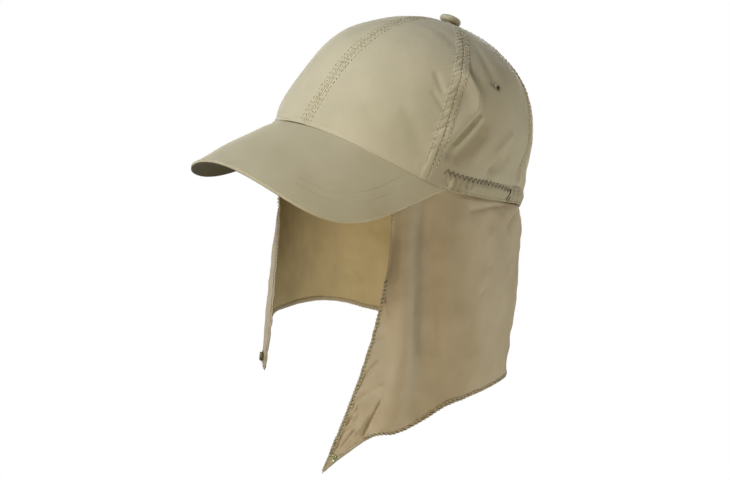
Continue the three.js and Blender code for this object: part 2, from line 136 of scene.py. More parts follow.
def cloth_noise(points: Grid, size: float, seed: int) -> Grid:
    """Smooth irregular rise and fall over points in space, the same in each run.

    Args:
        points: places in millimetres, or any numbers, on the last axis.
        size: distance between neighbouring bumps, in the same unit.
        seed: picks another pattern.

    Returns:
        Values from about -1 to 1, one for each point.
    """
    place = np.asarray(points, float) / size
    cell = np.floor(place).astype(np.int64)
    inside = place - cell
    ease = inside * inside * (3.0 - 2.0 * inside)
    total = np.zeros(place.shape[:-1])
    for corner in itertools.product((0, 1), repeat=3):
        lattice = cell + np.array(corner)
        mixed = (lattice[..., 0] * 73856093) ^ (lattice[..., 1] * 19349663)
        mixed = mixed ^ (lattice[..., 2] * 83492791) ^ (seed * 2654435)
        slope = 0.0
        weight = 1.0
        for axis in range(3):
            scrambled = (mixed * (1103515245 + 2 * axis) + 12345 * (axis + 1)) & 0x7FFFFFFF
            scrambled = (scrambled ^ (scrambled >> 13)) * 60493 & 0x7FFFFFFF
            gradient = (scrambled % 2001) / 1000.0 - 1.0
            slope = slope + gradient * (inside[..., axis] - corner[axis])
            weight = weight * (ease[..., axis] if corner[axis] else 1.0 - ease[..., axis])
        total = total + slope * weight
    return total * 1.5


def waves(points: Grid, form: Pair, seed: int) -> Grid:
    """Smooth irregular waves of the form's height and size."""
    return form[0] * cloth_noise(points, form[1], seed)


def ridges(points: Grid, form: Pair, seed: int, level: float = 0.3) -> Grid:
    """Irregular sharp ridges of the form's height and size, with the given part above 0."""
    return form[0] * (level - np.abs(cloth_noise(points, form[1], seed)))


def along(rows: Grid, place: Grid) -> Grid:
    """Smooth values through rows of numbers.

    Args:
        rows: one row of numbers for each whole place, from 0.
        place: where to read, any shape.

    Returns:
        The numbers at each place, on a new last axis.
    """
    last = len(rows) - 1
    low = np.clip(np.floor(place).astype(int), 0, last - 1)
    f = (place - low)[..., None]
    a, b, c, d = (rows[np.clip(low + k, 0, last)] for k in (-1, 0, 1, 2))
    return 0.5 * (
        a * (-f + 2 * f**2 - f**3)
        + b * (2 - 5 * f**2 + 3 * f**3)
        + c * (f + 4 * f**2 - 3 * f**3)
        + d * (f**3 - f**2)
    )


def path_length(points: Grid) -> Grid:
    """Distance run along a path at each of its points."""
    steps = np.linalg.norm(np.diff(points, axis=0), axis=1)
    return np.concatenate([[0.0], np.cumsum(steps)])


def stretches(shown: Grid) -> list[slice]:
    """The stretches of a row of flags that are set, each at least three long."""
    ends = np.flatnonzero(np.diff(np.concatenate([[0], shown.astype(int), [0]])))
    return [slice(a, b) for a, b in zip(ends[::2], ends[1::2]) if b > a + 2]


def to_path(here: Grid, stops: Grid) -> tuple[Grid, Grid]:
    """Distance to a path, and where on the path that is.

    Args:
        here: places, on the last axis.
        stops: points of the path.

    Returns:
        The distances, and the nearest places counted in points of the path.
    """
    gap = np.full(here.shape[:-1], np.inf)
    nearest = np.zeros(here.shape[:-1])
    for number, (start, run) in enumerate(zip(stops[:-1], np.diff(stops, axis=0))):
        share = np.clip((here - start) @ run / (run @ run), 0, 1)
        away = np.linalg.norm(here - start - share[..., None] * run, axis=-1)
        nearest = np.where(away < gap, number + share, nearest)
        gap = np.minimum(gap, away)
    return gap, nearest


# Object and mesh helpers


def add_object(name: str, data: bpy.types.ID) -> Piece:
    """Adds an object at the origin with the given data.

    Args:
        name: name of the object.
        data: its mesh, light or camera.

    Returns:
        The new object.
    """
    piece = bpy.data.objects.new(name, data)
    bpy.context.scene.collection.objects.link(piece)
    return piece


def towards(azimuth: float, elevation: float) -> Vector:
    """Direction from the hat towards a place, from its azimuth and elevation in degrees."""
    a, e = np.radians(azimuth), np.radians(elevation)
    return Vector((np.sin(a) * np.cos(e), -np.cos(a) * np.cos(e), np.sin(e)))


def mesh_piece(name: str, points: Grid, faces: Grid, material: Material,
               flat: Grid | None = None) -> Piece:
    """Makes a smooth shaded mesh object at the origin.

    Args:
        name: name of the object.
        points: places in millimetres, one row each.
        faces: rows of four point numbers, all of one closed surface or several.
        material: finish of the whole piece.
        flat: place of each point on the flat cloth in metres, for the weave, or of the
            outer face's points alone where the piece is a wall of cloth.

    Returns:
        The new object.
    """
    faces = outward_faces(points, faces)
    mesh = bpy.data.meshes.new(name)
    mesh.vertices.add(len(points))
    mesh.vertices.foreach_set("co", (points * MM).astype(np.float32).ravel())
    mesh.loops.add(faces.size)
    mesh.loops.foreach_set("vertex_index", faces.astype(np.int32).ravel())
    mesh.polygons.add(len(faces))
    mesh.polygons.foreach_set("loop_start", np.arange(0, faces.size, 4, dtype=np.int32))
    if flat is not None:
        flat = np.tile(flat, (len(points) // len(flat), 1))
        layer = mesh.uv_layers.new(name="FlatCloth")
        layer.data.foreach_set("uv", flat[faces.ravel()].astype(np.float32).ravel())
    mesh.update(calc_edges=True)
    mesh.validate()
    mesh.shade_smooth()
    mesh.materials.append(material)
    return add_object(name, mesh)


def paint_inner_face(piece: Piece, material: Material, count: int) -> None:
    """Gives the inner face of a wall of cloth its own finish: a copy of the cloth painted with the shade
    or bounced light that falls on that face.

    Args:
        piece: the wall, with its outer face's polygons first.
        material: finish of the inner face.
        count: number of polygons in each face.
    """
    piece.data.materials.append(material)
    index = np.zeros(len(piece.data.polygons), dtype=np.int32)
    index[count:2 * count] = 1
    piece.data.polygons.foreach_set("material_index", index)


def declare(node: str) -> None:
    """Hides the imported solid that a piece stands for."""
    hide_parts(node)


def outward_faces(points: Grid, faces: Grid) -> Grid:
    """Turns the faces of a closed mesh over where its volume comes out negative."""
    a, b, c, d = (points[faces[:, k]] for k in range(4))
    return faces[:, ::-1] if np.sum(a * (np.cross(b, c) + np.cross(c, d))) < 0 else faces


def grid_faces(columns: int, rows: int, start: int = 0, ring: bool = False) -> Grid:
    """Faces over a grid of points that is stored column by column.

    Args:
        columns: number of columns.
        rows: number of points in a column.
        start: number of the grid's first point.
        ring: whether the rows close on themselves.

    Returns:
        Rows of four point numbers.
    """
    number = start + np.arange(columns * rows).reshape(columns, rows)
    if ring:
        number = np.concatenate([number, number[:, :1]], axis=1)
    corners = (number[:-1, :-1], number[1:, :-1], number[1:, 1:], number[:-1, 1:])
    return np.stack(corners, axis=-1).reshape(-1, 4)


def wall_mesh(outer: Grid, inner: Grid) -> tuple[Grid, Grid]:
    """A closed wall between two grids of points of the same size.

    Args:
        outer: columns by rows by 3 places.
        inner: the same for the other face.

    Returns:
        The points and the faces.
    """
    columns, rows = outer.shape[:2]
    points = np.concatenate([outer.reshape(-1, 3), inner.reshape(-1, 3)])
    count = columns * rows
    face = grid_faces(columns, rows)
    number = np.arange(count).reshape(columns, rows)
    rim = np.concatenate([number[:, 0], number[-1, 1:], number[-2::-1, -1], number[0, -2::-1]])
    around = joined(rim[1:], rim[:-1], rim[:-1] + count, rim[1:] + count)
    return points, np.concatenate([face, face[:, ::-1] + count, around])


def tube_mesh(rings: Grid) -> tuple[Grid, Grid]:
    """A closed tube through rings of points, with a cap of small quads on both ends.

    Args:
        rings: rings by sides by 3 places.

    Returns:
        The points and the faces.
    """
    count, sides = rings.shape[:2]
    centre = rings.mean(axis=1, keepdims=True)
    tip = centre + (rings - centre) * CAP_SHARE
    full = np.concatenate([tip[:1], rings, tip[-1:]])
    faces = grid_faces(count + 2, sides, ring=True)
    half = sides // 2
    low = np.arange(half - 1)
    cap = joined(low, low + 1, sides - 2 - low, sides - 1 - low)
    return full.reshape(-1, 3), np.concatenate([faces, cap, cap[:, ::-1] + (count + 1) * sides])


def turned_mesh(profile: Pairs, sides: int, seat: Matrix) -> tuple[Grid, Grid]:
    """A round piece turned from a profile and set on a seat.

    Args:
        profile: radius and height of each ring, from one end to the other.
        sides: number of points round a ring.
        seat: place of the piece, with its axis along local Z.

    Returns:
        The points and the faces of a closed surface.
    """
    angle = np.linspace(0.0, 2.0 * np.pi, sides, endpoint=False)
    ring = joined(np.cos(angle), np.sin(angle))
    radius, height = np.array(profile, float).T
    rings = np.empty((len(profile), sides, 3))
    rings[..., :2] = radius[:, None, None] * ring
    rings[..., 2] = height[:, None]
    matrix = np.array(seat)
    points, faces = tube_mesh(rings)
    return points @ matrix[:3, :3].T + matrix[:3, 3], faces


def seat_at(point: Grid, outward: Grid) -> Matrix:
    """A seat at a point with its local Z axis along the outward direction."""
    turn = Vector(outward).to_track_quat("Z", "Y").to_matrix().to_4x4()
    return Matrix.Translation(Vector(point)) @ turn


# Finishes


def linear(colour: str) -> tuple[float, float, float, float]:
    """Turns an sRGB hex colour into Blender's linear colour."""
    values = [int(colour[k:k + 2], 16) / 255.0 for k in (1, 3, 5)]
    return (*(v / 12.92 if v <= 0.04045 else ((v + 0.055) / 1.055) ** 2.4 for v in values), 1.0)


def add_node(tree: NodeTree, kind: str, settings: dict[str, Any] | None = None,
             **inputs: Any) -> bpy.types.Node:
    """Adds a node and fills its inputs.

    Args:
        tree: node tree that gets the node.
        kind: Blender's name for the kind of node.
        settings: properties of the node itself.
        inputs: sockets by name with _ for a space, or by s and their number. A socket or
            another node, for its first output, is linked. Any other value is set.

    Returns:
        The new node.
    """
    node = tree.nodes.new(kind)
    for key, value in (settings or {}).items():
        setattr(node, key, value)
    for key, value in inputs.items():
        socket = node.inputs[int(key[1:])] if key[1:].isdigit() else node.inputs[key.replace("_", " ")]
        source = value.outputs[0] if isinstance(value, bpy.types.Node) else value
        if isinstance(source, bpy.types.NodeSocket):
            tree.links.new(source, socket)
        else:
            socket.default_value = value
    return node


def empty_tree(block: Material | bpy.types.World) -> NodeTree:
    """Gives a new material or world an empty node tree.

    Args:
        block: the material or world.

    Returns:
        Its tree.
    """
    block.use_nodes = True
    block.node_tree.nodes.clear()
    return block.node_tree


def object_mm(tree: NodeTree) -> bpy.types.Node:
    """Adds the place in the part's frame, in millimetres."""
    place = add_node(tree, "ShaderNodeTexCoord").outputs["Object"]
    return add_node(tree, "ShaderNodeMapping", Vector=place, Scale=(1000.0,) * 3)


# A wave texture repeats each 2 pi / 20 of its scaled coordinate
WAVE_PERIOD = 0.3142


@dataclass(frozen=True)
class WovenCloth:
    """Plain woven microfibre cloth: matt, with a faint sheen along the light's edge.

    Attributes:
        name: name of the material.
        colour: main colour, sRGB hex.
        shade: colour of the darker patches, sRGB hex.
        roughness: roughness of the surface.
        sheen: strength of the fibre sheen.
        thread: distance between threads, mm.
        crease: distance between the small creases, mm.
        crease_height: height of the small creases, mm.
        glow: share of the light that a single thin layer lets through.
        weave_height: height of the weave, mm.
        patch: size of the darker patches, mm.
        slub: width and length of the thicker threads, mm.
    """

    name: str
    colour: str
    shade: str
    roughness: float = 0.72
    sheen: float = 0.12
    thread: float = 0.9
    crease: float = 9.0
    crease_height: float = 0.35
    glow: float = 0.0
    weave_height: float = 0.05
    patch: float = 34.0
    slub: Pair = (0.7, 14.0)

    def make(self) -> Material:
        """Builds the material.

        Returns:
            The material. The real threads are 0.25 mm apart, which is too fine to show, so
            the weave is drawn as coarse as it shows close up.
        """
        material = bpy.data.materials.new(self.name)
        tree = empty_tree(material)
        node = partial(add_node, tree)
        flat = node("ShaderNodeUVMap", {"uv_map": "FlatCloth"})
        flat_mm = node("ShaderNodeMapping", Vector=flat, Scale=(1000.0,) * 3)
        place_mm = object_mm(tree)
        threads = [
            node("ShaderNodeTexWave", {"bands_direction": axis}, Vector=flat_mm,
                 Scale=WAVE_PERIOD / self.thread, Distortion=0.6, Detail=1.0, Detail_Scale=0.5)
            for axis in ("X", "Y")
        ]
        weave = node("ShaderNodeMath", {"operation": "MULTIPLY"}, s0=threads[0].outputs["Fac"],
                     s1=threads[1].outputs["Fac"])
        creases = node("ShaderNodeTexNoise", Vector=place_mm, Scale=1.0 / self.crease, Detail=3.0,
                       Roughness=0.55, Distortion=0.6)
        patches = node("ShaderNodeTexNoise", Vector=place_mm, Scale=1.0 / self.patch, Detail=2.0,
                       Roughness=0.5)
        stretched = node("ShaderNodeMapping", Vector=flat_mm,
                         Scale=(1.0 / self.slub[0], 1.0 / self.slub[1], 1.0))
        slubs = node("ShaderNodeTexNoise", Vector=stretched, Scale=1.0, Detail=1.0)
        share = node("ShaderNodeMapRange", Value=patches, From_Min=0.35, From_Max=0.7)
        mottled = node("ShaderNodeMix", {"data_type": "RGBA"}, s0=share, s6=linear(self.colour),
                       s7=linear(self.shade))
        faint = node("ShaderNodeMapRange", Value=slubs, From_Min=0.3, From_Max=0.7, To_Min=0.98,
                     To_Max=1.012)
        coloured = node("ShaderNodeMix", {"data_type": "RGBA", "blend_type": "MULTIPLY"}, s0=1.0,
                        s6=mottled.outputs[2], s7=faint)
        crease_bump = node("ShaderNodeBump", Height=creases, Strength=1.0,
                           Distance=self.crease_height * MM)
        weave_bump = node("ShaderNodeBump", Height=weave, Strength=0.5, Distance=self.weave_height * MM,
                          Normal=crease_bump)
        gloss = node("ShaderNodeMapRange", Value=slubs, To_Min=self.roughness - 0.03,
                     To_Max=self.roughness + 0.03)
        surface = node("ShaderNodeBsdfPrincipled", Base_Color=coloured.outputs[2], Roughness=gloss,
                       IOR=1.46, Specular_IOR_Level=0.35, Sheen_Weight=self.sheen,
                       Sheen_Roughness=0.45, Normal=weave_bump)
        if self.glow > 0:
            through = node("ShaderNodeBsdfTranslucent", Color=coloured.outputs[2], Normal=weave_bump)
            surface = node("ShaderNodeMixShader", s0=self.glow, s1=surface, s2=through)
        node("ShaderNodeOutputMaterial", Surface=surface)
        return material


@dataclass(frozen=True)
class SewingThread:
    """Spun polyester thread: matt, with the twist of its two strands.

    Attributes:
        name: name of the material.
        colour: colour of the strands, sRGB hex.
        dip: colour between the strands, sRGB hex.
        strand: distance between strands, mm.
        strand_height: height of the strands, mm.
    """

    name: str
    colour: str
    dip: str
    strand: float = 0.5
    strand_height: float = 0.08

    def make(self) -> Material:
        """Builds the material.

        Returns:
            The material. Real strands are 0.2 mm apart, which is too fine to show, so they
            are drawn coarser.
        """
        material = bpy.data.materials.new(self.name)
        tree = empty_tree(material)
        node = partial(add_node, tree)
        place_mm = object_mm(tree)
        strands = node("ShaderNodeTexWave", {"bands_direction": "DIAGONAL"}, Vector=place_mm,
                       Scale=WAVE_PERIOD / self.strand, Distortion=1.0, Detail=1.0)
        colour = node("ShaderNodeMix", {"data_type": "RGBA"}, s0=strands.outputs["Fac"],
                      s6=linear(self.dip), s7=linear(self.colour))
        bump = node("ShaderNodeBump", Height=strands.outputs["Fac"], Strength=0.6,
                    Distance=self.strand_height * MM)
        shader = node("ShaderNodeBsdfPrincipled", Base_Color=colour.outputs[2], Roughness=0.7, IOR=1.5,
                      Specular_IOR_Level=0.3, Sheen_Weight=0.1, Normal=bump)
        node("ShaderNodeOutputMaterial", Surface=shader)
        return material


@dataclass(frozen=True)
class AgedBrass:
    """Stamped brass with a dark antique plating, rubbed brighter in patches. Its darker copy is painted
    shade and its lighter copy painted light.

    Attributes:
        name: name of the material.
        colour: colour of the plating, sRGB hex.
        rubbed: colour where it is rubbed, sRGB hex.
        patch: size of the rubbed patches, mm.
    """

    name: str
    colour: str
    rubbed: str
    patch: float = 1.25

    def make(self) -> Material:
        """Builds the material.

        Returns:
            The material, a metal with its default IOR.
        """
        material = bpy.data.materials.new(self.name)
        tree = empty_tree(material)
        node = partial(add_node, tree)
        place_mm = object_mm(tree)
        wear = node("ShaderNodeTexNoise", Vector=place_mm, Scale=1.0 / self.patch, Detail=3.0)
        share = node("ShaderNodeMapRange", Value=wear, From_Min=0.45, From_Max=0.7)
        colour = node("ShaderNodeMix", {"data_type": "RGBA"}, s0=share, s6=linear(self.colour),
                      s7=linear(self.rubbed))
        rough = node("ShaderNodeMapRange", Value=wear, To_Min=0.3, To_Max=0.5)
        shader = node("ShaderNodeBsdfPrincipled", Base_Color=colour.outputs[2], Metallic=0.6,
                      Roughness=rough)
        node("ShaderNodeOutputMaterial", Surface=shader)
        return material


class Finishes:
    """All finishes of the hat, each made once."""

    def __init__(self) -> None:
        """Builds the materials."""
        self.crown = WovenCloth("woven_microfibre_crown", "#B9AE8F", "#AFA586").make()
        # The side panels are the crown's cloth in a darker copy: painted shade for the light that falls
        # away from them
        self.side = WovenCloth("woven_microfibre_side_panel_painted_shade", "#ACA285", "#A4997D").make()
        self.peak = WovenCloth("woven_microfibre_peak", "#B3A887", "#AB9F7E", crease=26.0,
                               crease_height=0.25).make()
        # The peak's underside is the same cloth painted dark: painted shade under the peak
        self.peak_underside_painted_shade = WovenCloth("woven_microfibre_peak_lining", "#564F39", "#504934").make()
        self.band = WovenCloth("woven_microfibre_band", "#A2977A", "#9A8F73", crease=7.0).make()
        self.cape = WovenCloth("thin_woven_microfibre_cape", "#CABA99", "#C1B08E", crease=8.0,
                               crease_height=0.5, glow=0.3).make()
        # The cape's inner face is the same cloth painted warmer and brighter: painted bounce light inside
        # the cape
        self.lining = WovenCloth("thin_woven_microfibre_inner_painted_bounce_light", "#D2C092", "#C6B486", crease=10.0,
                                 crease_height=0.35, glow=0.3).make()
        self.hem = WovenCloth("rolled_hem_cloth", "#B2A384", "#A39475", crease=3.0,
                              crease_height=0.2).make()
        self.thread = SewingThread("polyester_thread_sand", "#C6BC9B", "#A49978").make()
        self.groove_thread = SewingThread("polyester_thread_stone", "#9F9678", "#7D7458").make()
        self.overlock = SewingThread("polyester_thread_olive", "#6E6848", "#4C4730").make()
        # A near black disc: painted shadow inside the air holes
        self.air_hole_painted_shadow = SewingThread("painted_air_hole_shadow", "#3E3524", "#231D12").make()
        # Dark brown thread for the zigzag and bar tacks, also painted shade for the needle holes
        self.dark_thread_and_needle_hole_shade = SewingThread("polyester_thread_brown_and_needle_hole_shade", "#6E654B", "#554D37").make()
        # The far stud's brass is a dark copy, painted shade, and the near stud's a light copy, painted
        # light
        self.brass = AgedBrass("antique_brass_painted_shade", "#57523C", "#8C8564").make()
        self.brass_painted_light = AgedBrass("antique_brass_painted_light", "#98966E", "#C6C29C").make()


# Stitches by Geometry Nodes


@dataclass(frozen=True)
class Stitch:
    """One kind of stitch, as a small rounded bar laid along a row.

    Attributes:
        spacing: distance between stitches, mm.
        length: length of a stitch, mm.
        width: thickness of the thread, mm.
        slant: turn of each stitch out of the row's line, degrees.
        jitter: how much the length varies, as a share.
    """

    spacing: float
    length: float
    width: float
    slant: float = 0.0
    jitter: float = 0.12

    def tree(self, name: str, material: Material) -> NodeTree:
        """Builds the node tree that lays the stitches along the edges of a mesh.

        Args:
            name: name of the tree.
            material: finish of the thread.

        Returns:
            The tree, with its sizes as named inputs in metres and degrees.
        """
        tree = bpy.data.node_groups.new(name, "GeometryNodeTree")
        node = partial(add_node, tree)
        face = tree.interface
        face.new_socket("Rows", in_out="INPUT", socket_type="NodeSocketGeometry")
        for label in ("Spacing", "Stitch Length", "Thread Width", "Slant", "Jitter"):
            face.new_socket(label, in_out="INPUT", socket_type="NodeSocketFloat")
        face.new_socket("Stitches", in_out="OUTPUT", socket_type="NodeSocketGeometry")
        given = node("NodeGroupInput").outputs
        rows = node("GeometryNodeMeshToCurve", s0=given["Rows"])
        spaced = node("GeometryNodeResampleCurve", {"mode": "LENGTH"}, s0=rows, Length=given["Spacing"])
        bar = node("GeometryNodeMeshUVSphere", Segments=8, Rings=5, Radius=0.5)
        normal = node("GeometryNodeInputNamedAttribute", {"data_type": "FLOAT_VECTOR"}, Name="outward")
        upright = node("FunctionNodeAlignRotationToVector", {"axis": "Z"}, Vector=normal)
        tangent = node("GeometryNodeInputTangent")
        lying = node("FunctionNodeAlignRotationToVector", {"axis": "X", "pivot_axis": "Z"},
                     Rotation=upright, Vector=tangent)
        slant = node("ShaderNodeMath", {"operation": "RADIANS"}, s0=given["Slant"])
        euler = node("ShaderNodeCombineXYZ", Z=slant)
        turned = node("FunctionNodeEulerToRotation", s0=euler)
        rotation = node("FunctionNodeRotateRotation", {"rotation_space": "LOCAL"}, s0=lying, s1=turned)
        spread = node("ShaderNodeMath", {"operation": "SUBTRACT"}, s0=1.0, s1=given["Jitter"])
        vary = node("FunctionNodeRandomValue", {"data_type": "FLOAT"}, s2=spread, s3=1.0,
                    Seed=STITCH_SEED)
        length = node("ShaderNodeMath", {"operation": "MULTIPLY"}, s0=given["Stitch Length"],
                      s1=vary.outputs[1])
        size = node("ShaderNodeCombineXYZ", X=length, Y=given["Thread Width"], Z=given["Thread Width"])
        laid = node("GeometryNodeInstanceOnPoints", Points=spaced, Instance=bar, Rotation=rotation,
                    Scale=size)
        real = node("GeometryNodeRealizeInstances", s0=laid)
        smooth = node("GeometryNodeSetShadeSmooth", s0=real)
        dressed = node("GeometryNodeSetMaterial", Geometry=smooth, Material=material)
        node("NodeGroupOutput", s0=dressed)
        return tree

    def sew(self, name: str, rows: Iterable[tuple[Grid, Grid]], material: Material) -> Piece:
        """Sews rows of stitches.

        Args:
            name: name of the piece.
            rows: points of each row in millimetres and the cloth's outward direction there.
            material: finish of the thread.

        Returns:
            One mesh with all the stitches.
        """
        guide = bpy.data.meshes.new(name + "_rows")
        points: list[Grid] = []
        outward: list[Grid] = []
        edges: list[Grid] = []
        start = 0
        for line, normal in rows:
            points.append(line * MM)
            outward.append(normal)
            first = np.arange(start, start + len(line) - 1)
            edges.append(joined(first, first + 1))
            start += len(line)
        guide.from_pydata(np.concatenate(points).tolist(), np.concatenate(edges).tolist(), [])
        facing = guide.attributes.new("outward", "FLOAT_VECTOR", "POINT")
        facing.data.foreach_set("vector", np.concatenate(outward).astype(np.float32).ravel())
        holder = add_object(name + "_rows", guide)
        modifier = holder.modifiers.new("Stitches", "NODES")
        modifier.node_group = self.tree(name + "_tree", material)
        sizes = {
            "Spacing": self.spacing * MM, "Stitch Length": self.length * MM,
            "Thread Width": self.width * MM, "Slant": self.slant, "Jitter": self.jitter,
        }
        for item in modifier.node_group.interface.items_tree:
            if item.in_out == "INPUT" and item.name in sizes:
                modifier[item.identifier] = sizes[item.name]
        graph = bpy.context.evaluated_depsgraph_get()
        sewn = bpy.data.meshes.new_from_object(holder.evaluated_get(graph))
        sewn.name = name
        bpy.data.objects.remove(holder)
        bpy.data.meshes.remove(guide)
        return add_object(name, sewn)


SEAM_STITCH = Stitch(spacing=3.3, length=2.2, width=0.75)
NEEDLE_HOLE = Stitch(spacing=3.3, length=0.8, width=0.6)
EYELET_STITCH = Stitch(spacing=0.42, length=0.5, width=1.1, jitter=0.2)
ARC_STITCH = Stitch(spacing=2.5, length=2.1, width=0.42)
BAND_STITCH = Stitch(spacing=2.4, length=1.8, width=0.5)
ZIGZAG_STITCH = Stitch(spacing=1.0, length=1.1, width=0.5)
TACK_STITCH = Stitch(spacing=0.6, length=1.5, width=0.5, slant=35.0)
OVERLOCK_STITCH = Stitch(spacing=3.0, length=4.4, width=0.95, slant=-30.0)
HEM_STITCH = Stitch(spacing=2.6, length=1.6, width=0.45)


# Forms that several pieces share


@dataclass(frozen=True)
class PeakForm:
    """The curved face of the peak, part of a cylinder whose axis points forward and down.

    Attributes:
        bend: radius of the cylinder, mm.
        droop: fall of its axis, degrees.
        seat_height: height of its crest at the crown's front, mm.
        reach: depth of the peak along its middle, mm.
        end: azimuth of its ends, degrees.
        thick: thickness, mm.
        seat: how far it goes in under the crown, mm.
        shoulder: second control point of the outline, across and out, mm.
        corner: third control point of the outline, across and out, mm.
    """

    bend: float = 87.0
    droop: float = 36.8
    seat_height: float = 5.2
    reach: float = 70.0
    end: float = 69.6
    thick: float = 2.8
    seat: float = 2.2
    shoulder: Pair = (92.8, 9.7)
    corner: Pair = (109.5, 70.0)

    def place(self, x: Grid, y: Grid, front: float) -> tuple[Grid, Grid]:
        """Place on the peak of a point seen in plan.

        Args:
            x: distance to the wearer's left, mm.
            y: distance to the back, mm.
            front: half length of the crown, mm.

        Returns:
            Distances across and out, mm.
        """
        bent = np.arcsin(np.clip(x / self.bend, -1, 1))
        drop = self.bend * (1 - np.cos(bent))
        droop = np.radians(self.droop)
        return bent * self.bend, (drop * np.sin(droop) - front - y) / np.cos(droop)

    def point(self, across: Grid, out: Grid, below: Grid, front: float) -> Grid:
        """Point of the peak, in the crown's upright frame.

        Args:
            across: distance from the middle along the curve, mm.
            out: distance forward along the axis, mm.
            below: depth below the upper face, mm.
            front: half length of the crown, mm.

        Returns:
            The points in millimetres.
        """
        bent = across / self.bend
        droop = np.radians(self.droop)
        radius = self.bend - below
        drop = self.bend - radius * np.cos(bent)
        return joined(
            radius * np.sin(bent),
            -front - out * np.cos(droop) + drop * np.sin(droop),
            self.seat_height - out * np.sin(droop) - drop * np.cos(droop),
        )


@dataclass(frozen=True)
class Seam:
    """A sewn seam that runs up the crown.

    Attributes:
        base: azimuth at the rim, degrees.
        bow: how far it bows to the left higher up, degrees.
        rows: stitch rows, mm from the seam, negative on the side of the lower azimuth.
        edges: outer edges of the folded cloth under the seam, mm.
        plump: height of the folded cloth on each side, mm.
        puckers: height of the puckers on each side, mm.
        lively: turn in degrees and how strong the puckers are there, as rows.
    """

    base: float
    bow: float = 0.0
    rows: tuple[float, ...] = (-3.4, 3.4)
    edges: Pair = (-4.4, 4.4)
    plump: Pair = (0.45, 0.45)
    puckers: Pair = (0.3, 0.3)
    lively: Pairs = ((0, 0.6), (20, 1.0), (45, 0.9), (80, 0.5))

    def azimuth(self, turn: Grid) -> Grid:
        """Azimuth of the seam at a turn, in radians."""
        return np.radians(self.base + self.bow * np.sin(turn))

    def life(self, turn: Grid) -> Grid:
        """Strength of the puckers at a turn."""
        table = np.array(self.lively, float)
        return np.interp(np.degrees(turn), table[:, 0], table[:, 1])


SIDE_LIFE = (
    (0, 0.5), (5, 0.7), (9, 1.1), (14, 0.8), (19, 1.15), (25, 0.6), (31, 0.9), (50, 1.0),
    (62, 0.7), (80, 0.4),
)
FRONT_SEAM = Seam(1.2, 8.5, (-4.1, -1.7, 1.7, 4.1), (-4.9, 4.9), (0.22, 0.22), (0.1, 0.1))
LEFT_SIDE_SEAM = Seam(58.4, 0.0, (-5.0, 0.35, 3.7), (-6.0, 4.4), (0.36, 0.3), (0.95, 0.4), SIDE_LIFE)
LEFT_BACK_SEAM = Seam(119.0)
BACK_SEAM = Seam(180.0, 0.0, (-4.1, -1.7, 1.7, 4.1), (-4.9, 4.9), (0.25, 0.25), (0.1, 0.1))
RIGHT_BACK_SEAM = Seam(241.0)
RIGHT_SIDE_SEAM = Seam(301.6, 0.0, (-3.7, -0.35, 5.0), (-4.4, 6.0), (0.3, 0.36), (0.4, 0.95), SIDE_LIFE)
SEAMS = (FRONT_SEAM, LEFT_SIDE_SEAM, LEFT_BACK_SEAM, BACK_SEAM, RIGHT_BACK_SEAM, RIGHT_SIDE_SEAM)


@dataclass(frozen=True)
class Fold:
    """A fold of slack cloth along a path over the crown.

    Attributes:
        path: azimuth and turn of its points, degrees.
        wide: distance at which it has faded, mm.
        deep: depth, mm. The cloth puffs out where it is negative.
        crisp: whether its middle is a sharp crease.
        steep: how many times narrower it is on the side of the greater azimuth.
    """

    path: Pairs
    wide: float
    deep: float
    crisp: bool = False
    steep: float = 1.0

    def depth(self, gap: Grid, beyond: Grid) -> Grid:
        """Depth at a distance from the path, on the side of the greater azimuth or not."""
        gap = gap * np.where(beyond, self.steep, 1.0)
        return self.deep * (crease if self.crisp else bell)(gap, self.wide)


# The large folds that the solid parts have too
SLACK = tuple(Fold(*row) for row in (
    (((70, 12), (63, 3.5)), 7, 2.0),
    (((78, 8), (70, 2.5)), 7, 1.6),
    (((101, 5), (90, 1.2)), 8, 1.8),
    (((66, 52), (79, 30)), 8, 1.4),
    (((38, 14), (52, 2.5)), 8, 1.2),
    (((-66, 12), (-74, 3)), 8, 1.8),
    (((-98, 6), (-88, 1.5)), 8, 1.6),
    (((-42, 14), (-52, 3)), 8, 1.2),
    (((-6, 2), (-34, 5)), 26, -2.2),
    (((-12, 34), (-34, 42)), 40, -2.4),
))

# The crest of the cloth that bulges behind the left side seam
BULGE = (
    (63.0, 28.0), (66.0, 25.0), (69.0, 21.8), (70.6, 18.6), (71.0, 15.6), (69.2, 12.6),
    (66.2, 9.4), (63.2, 6.4),
)

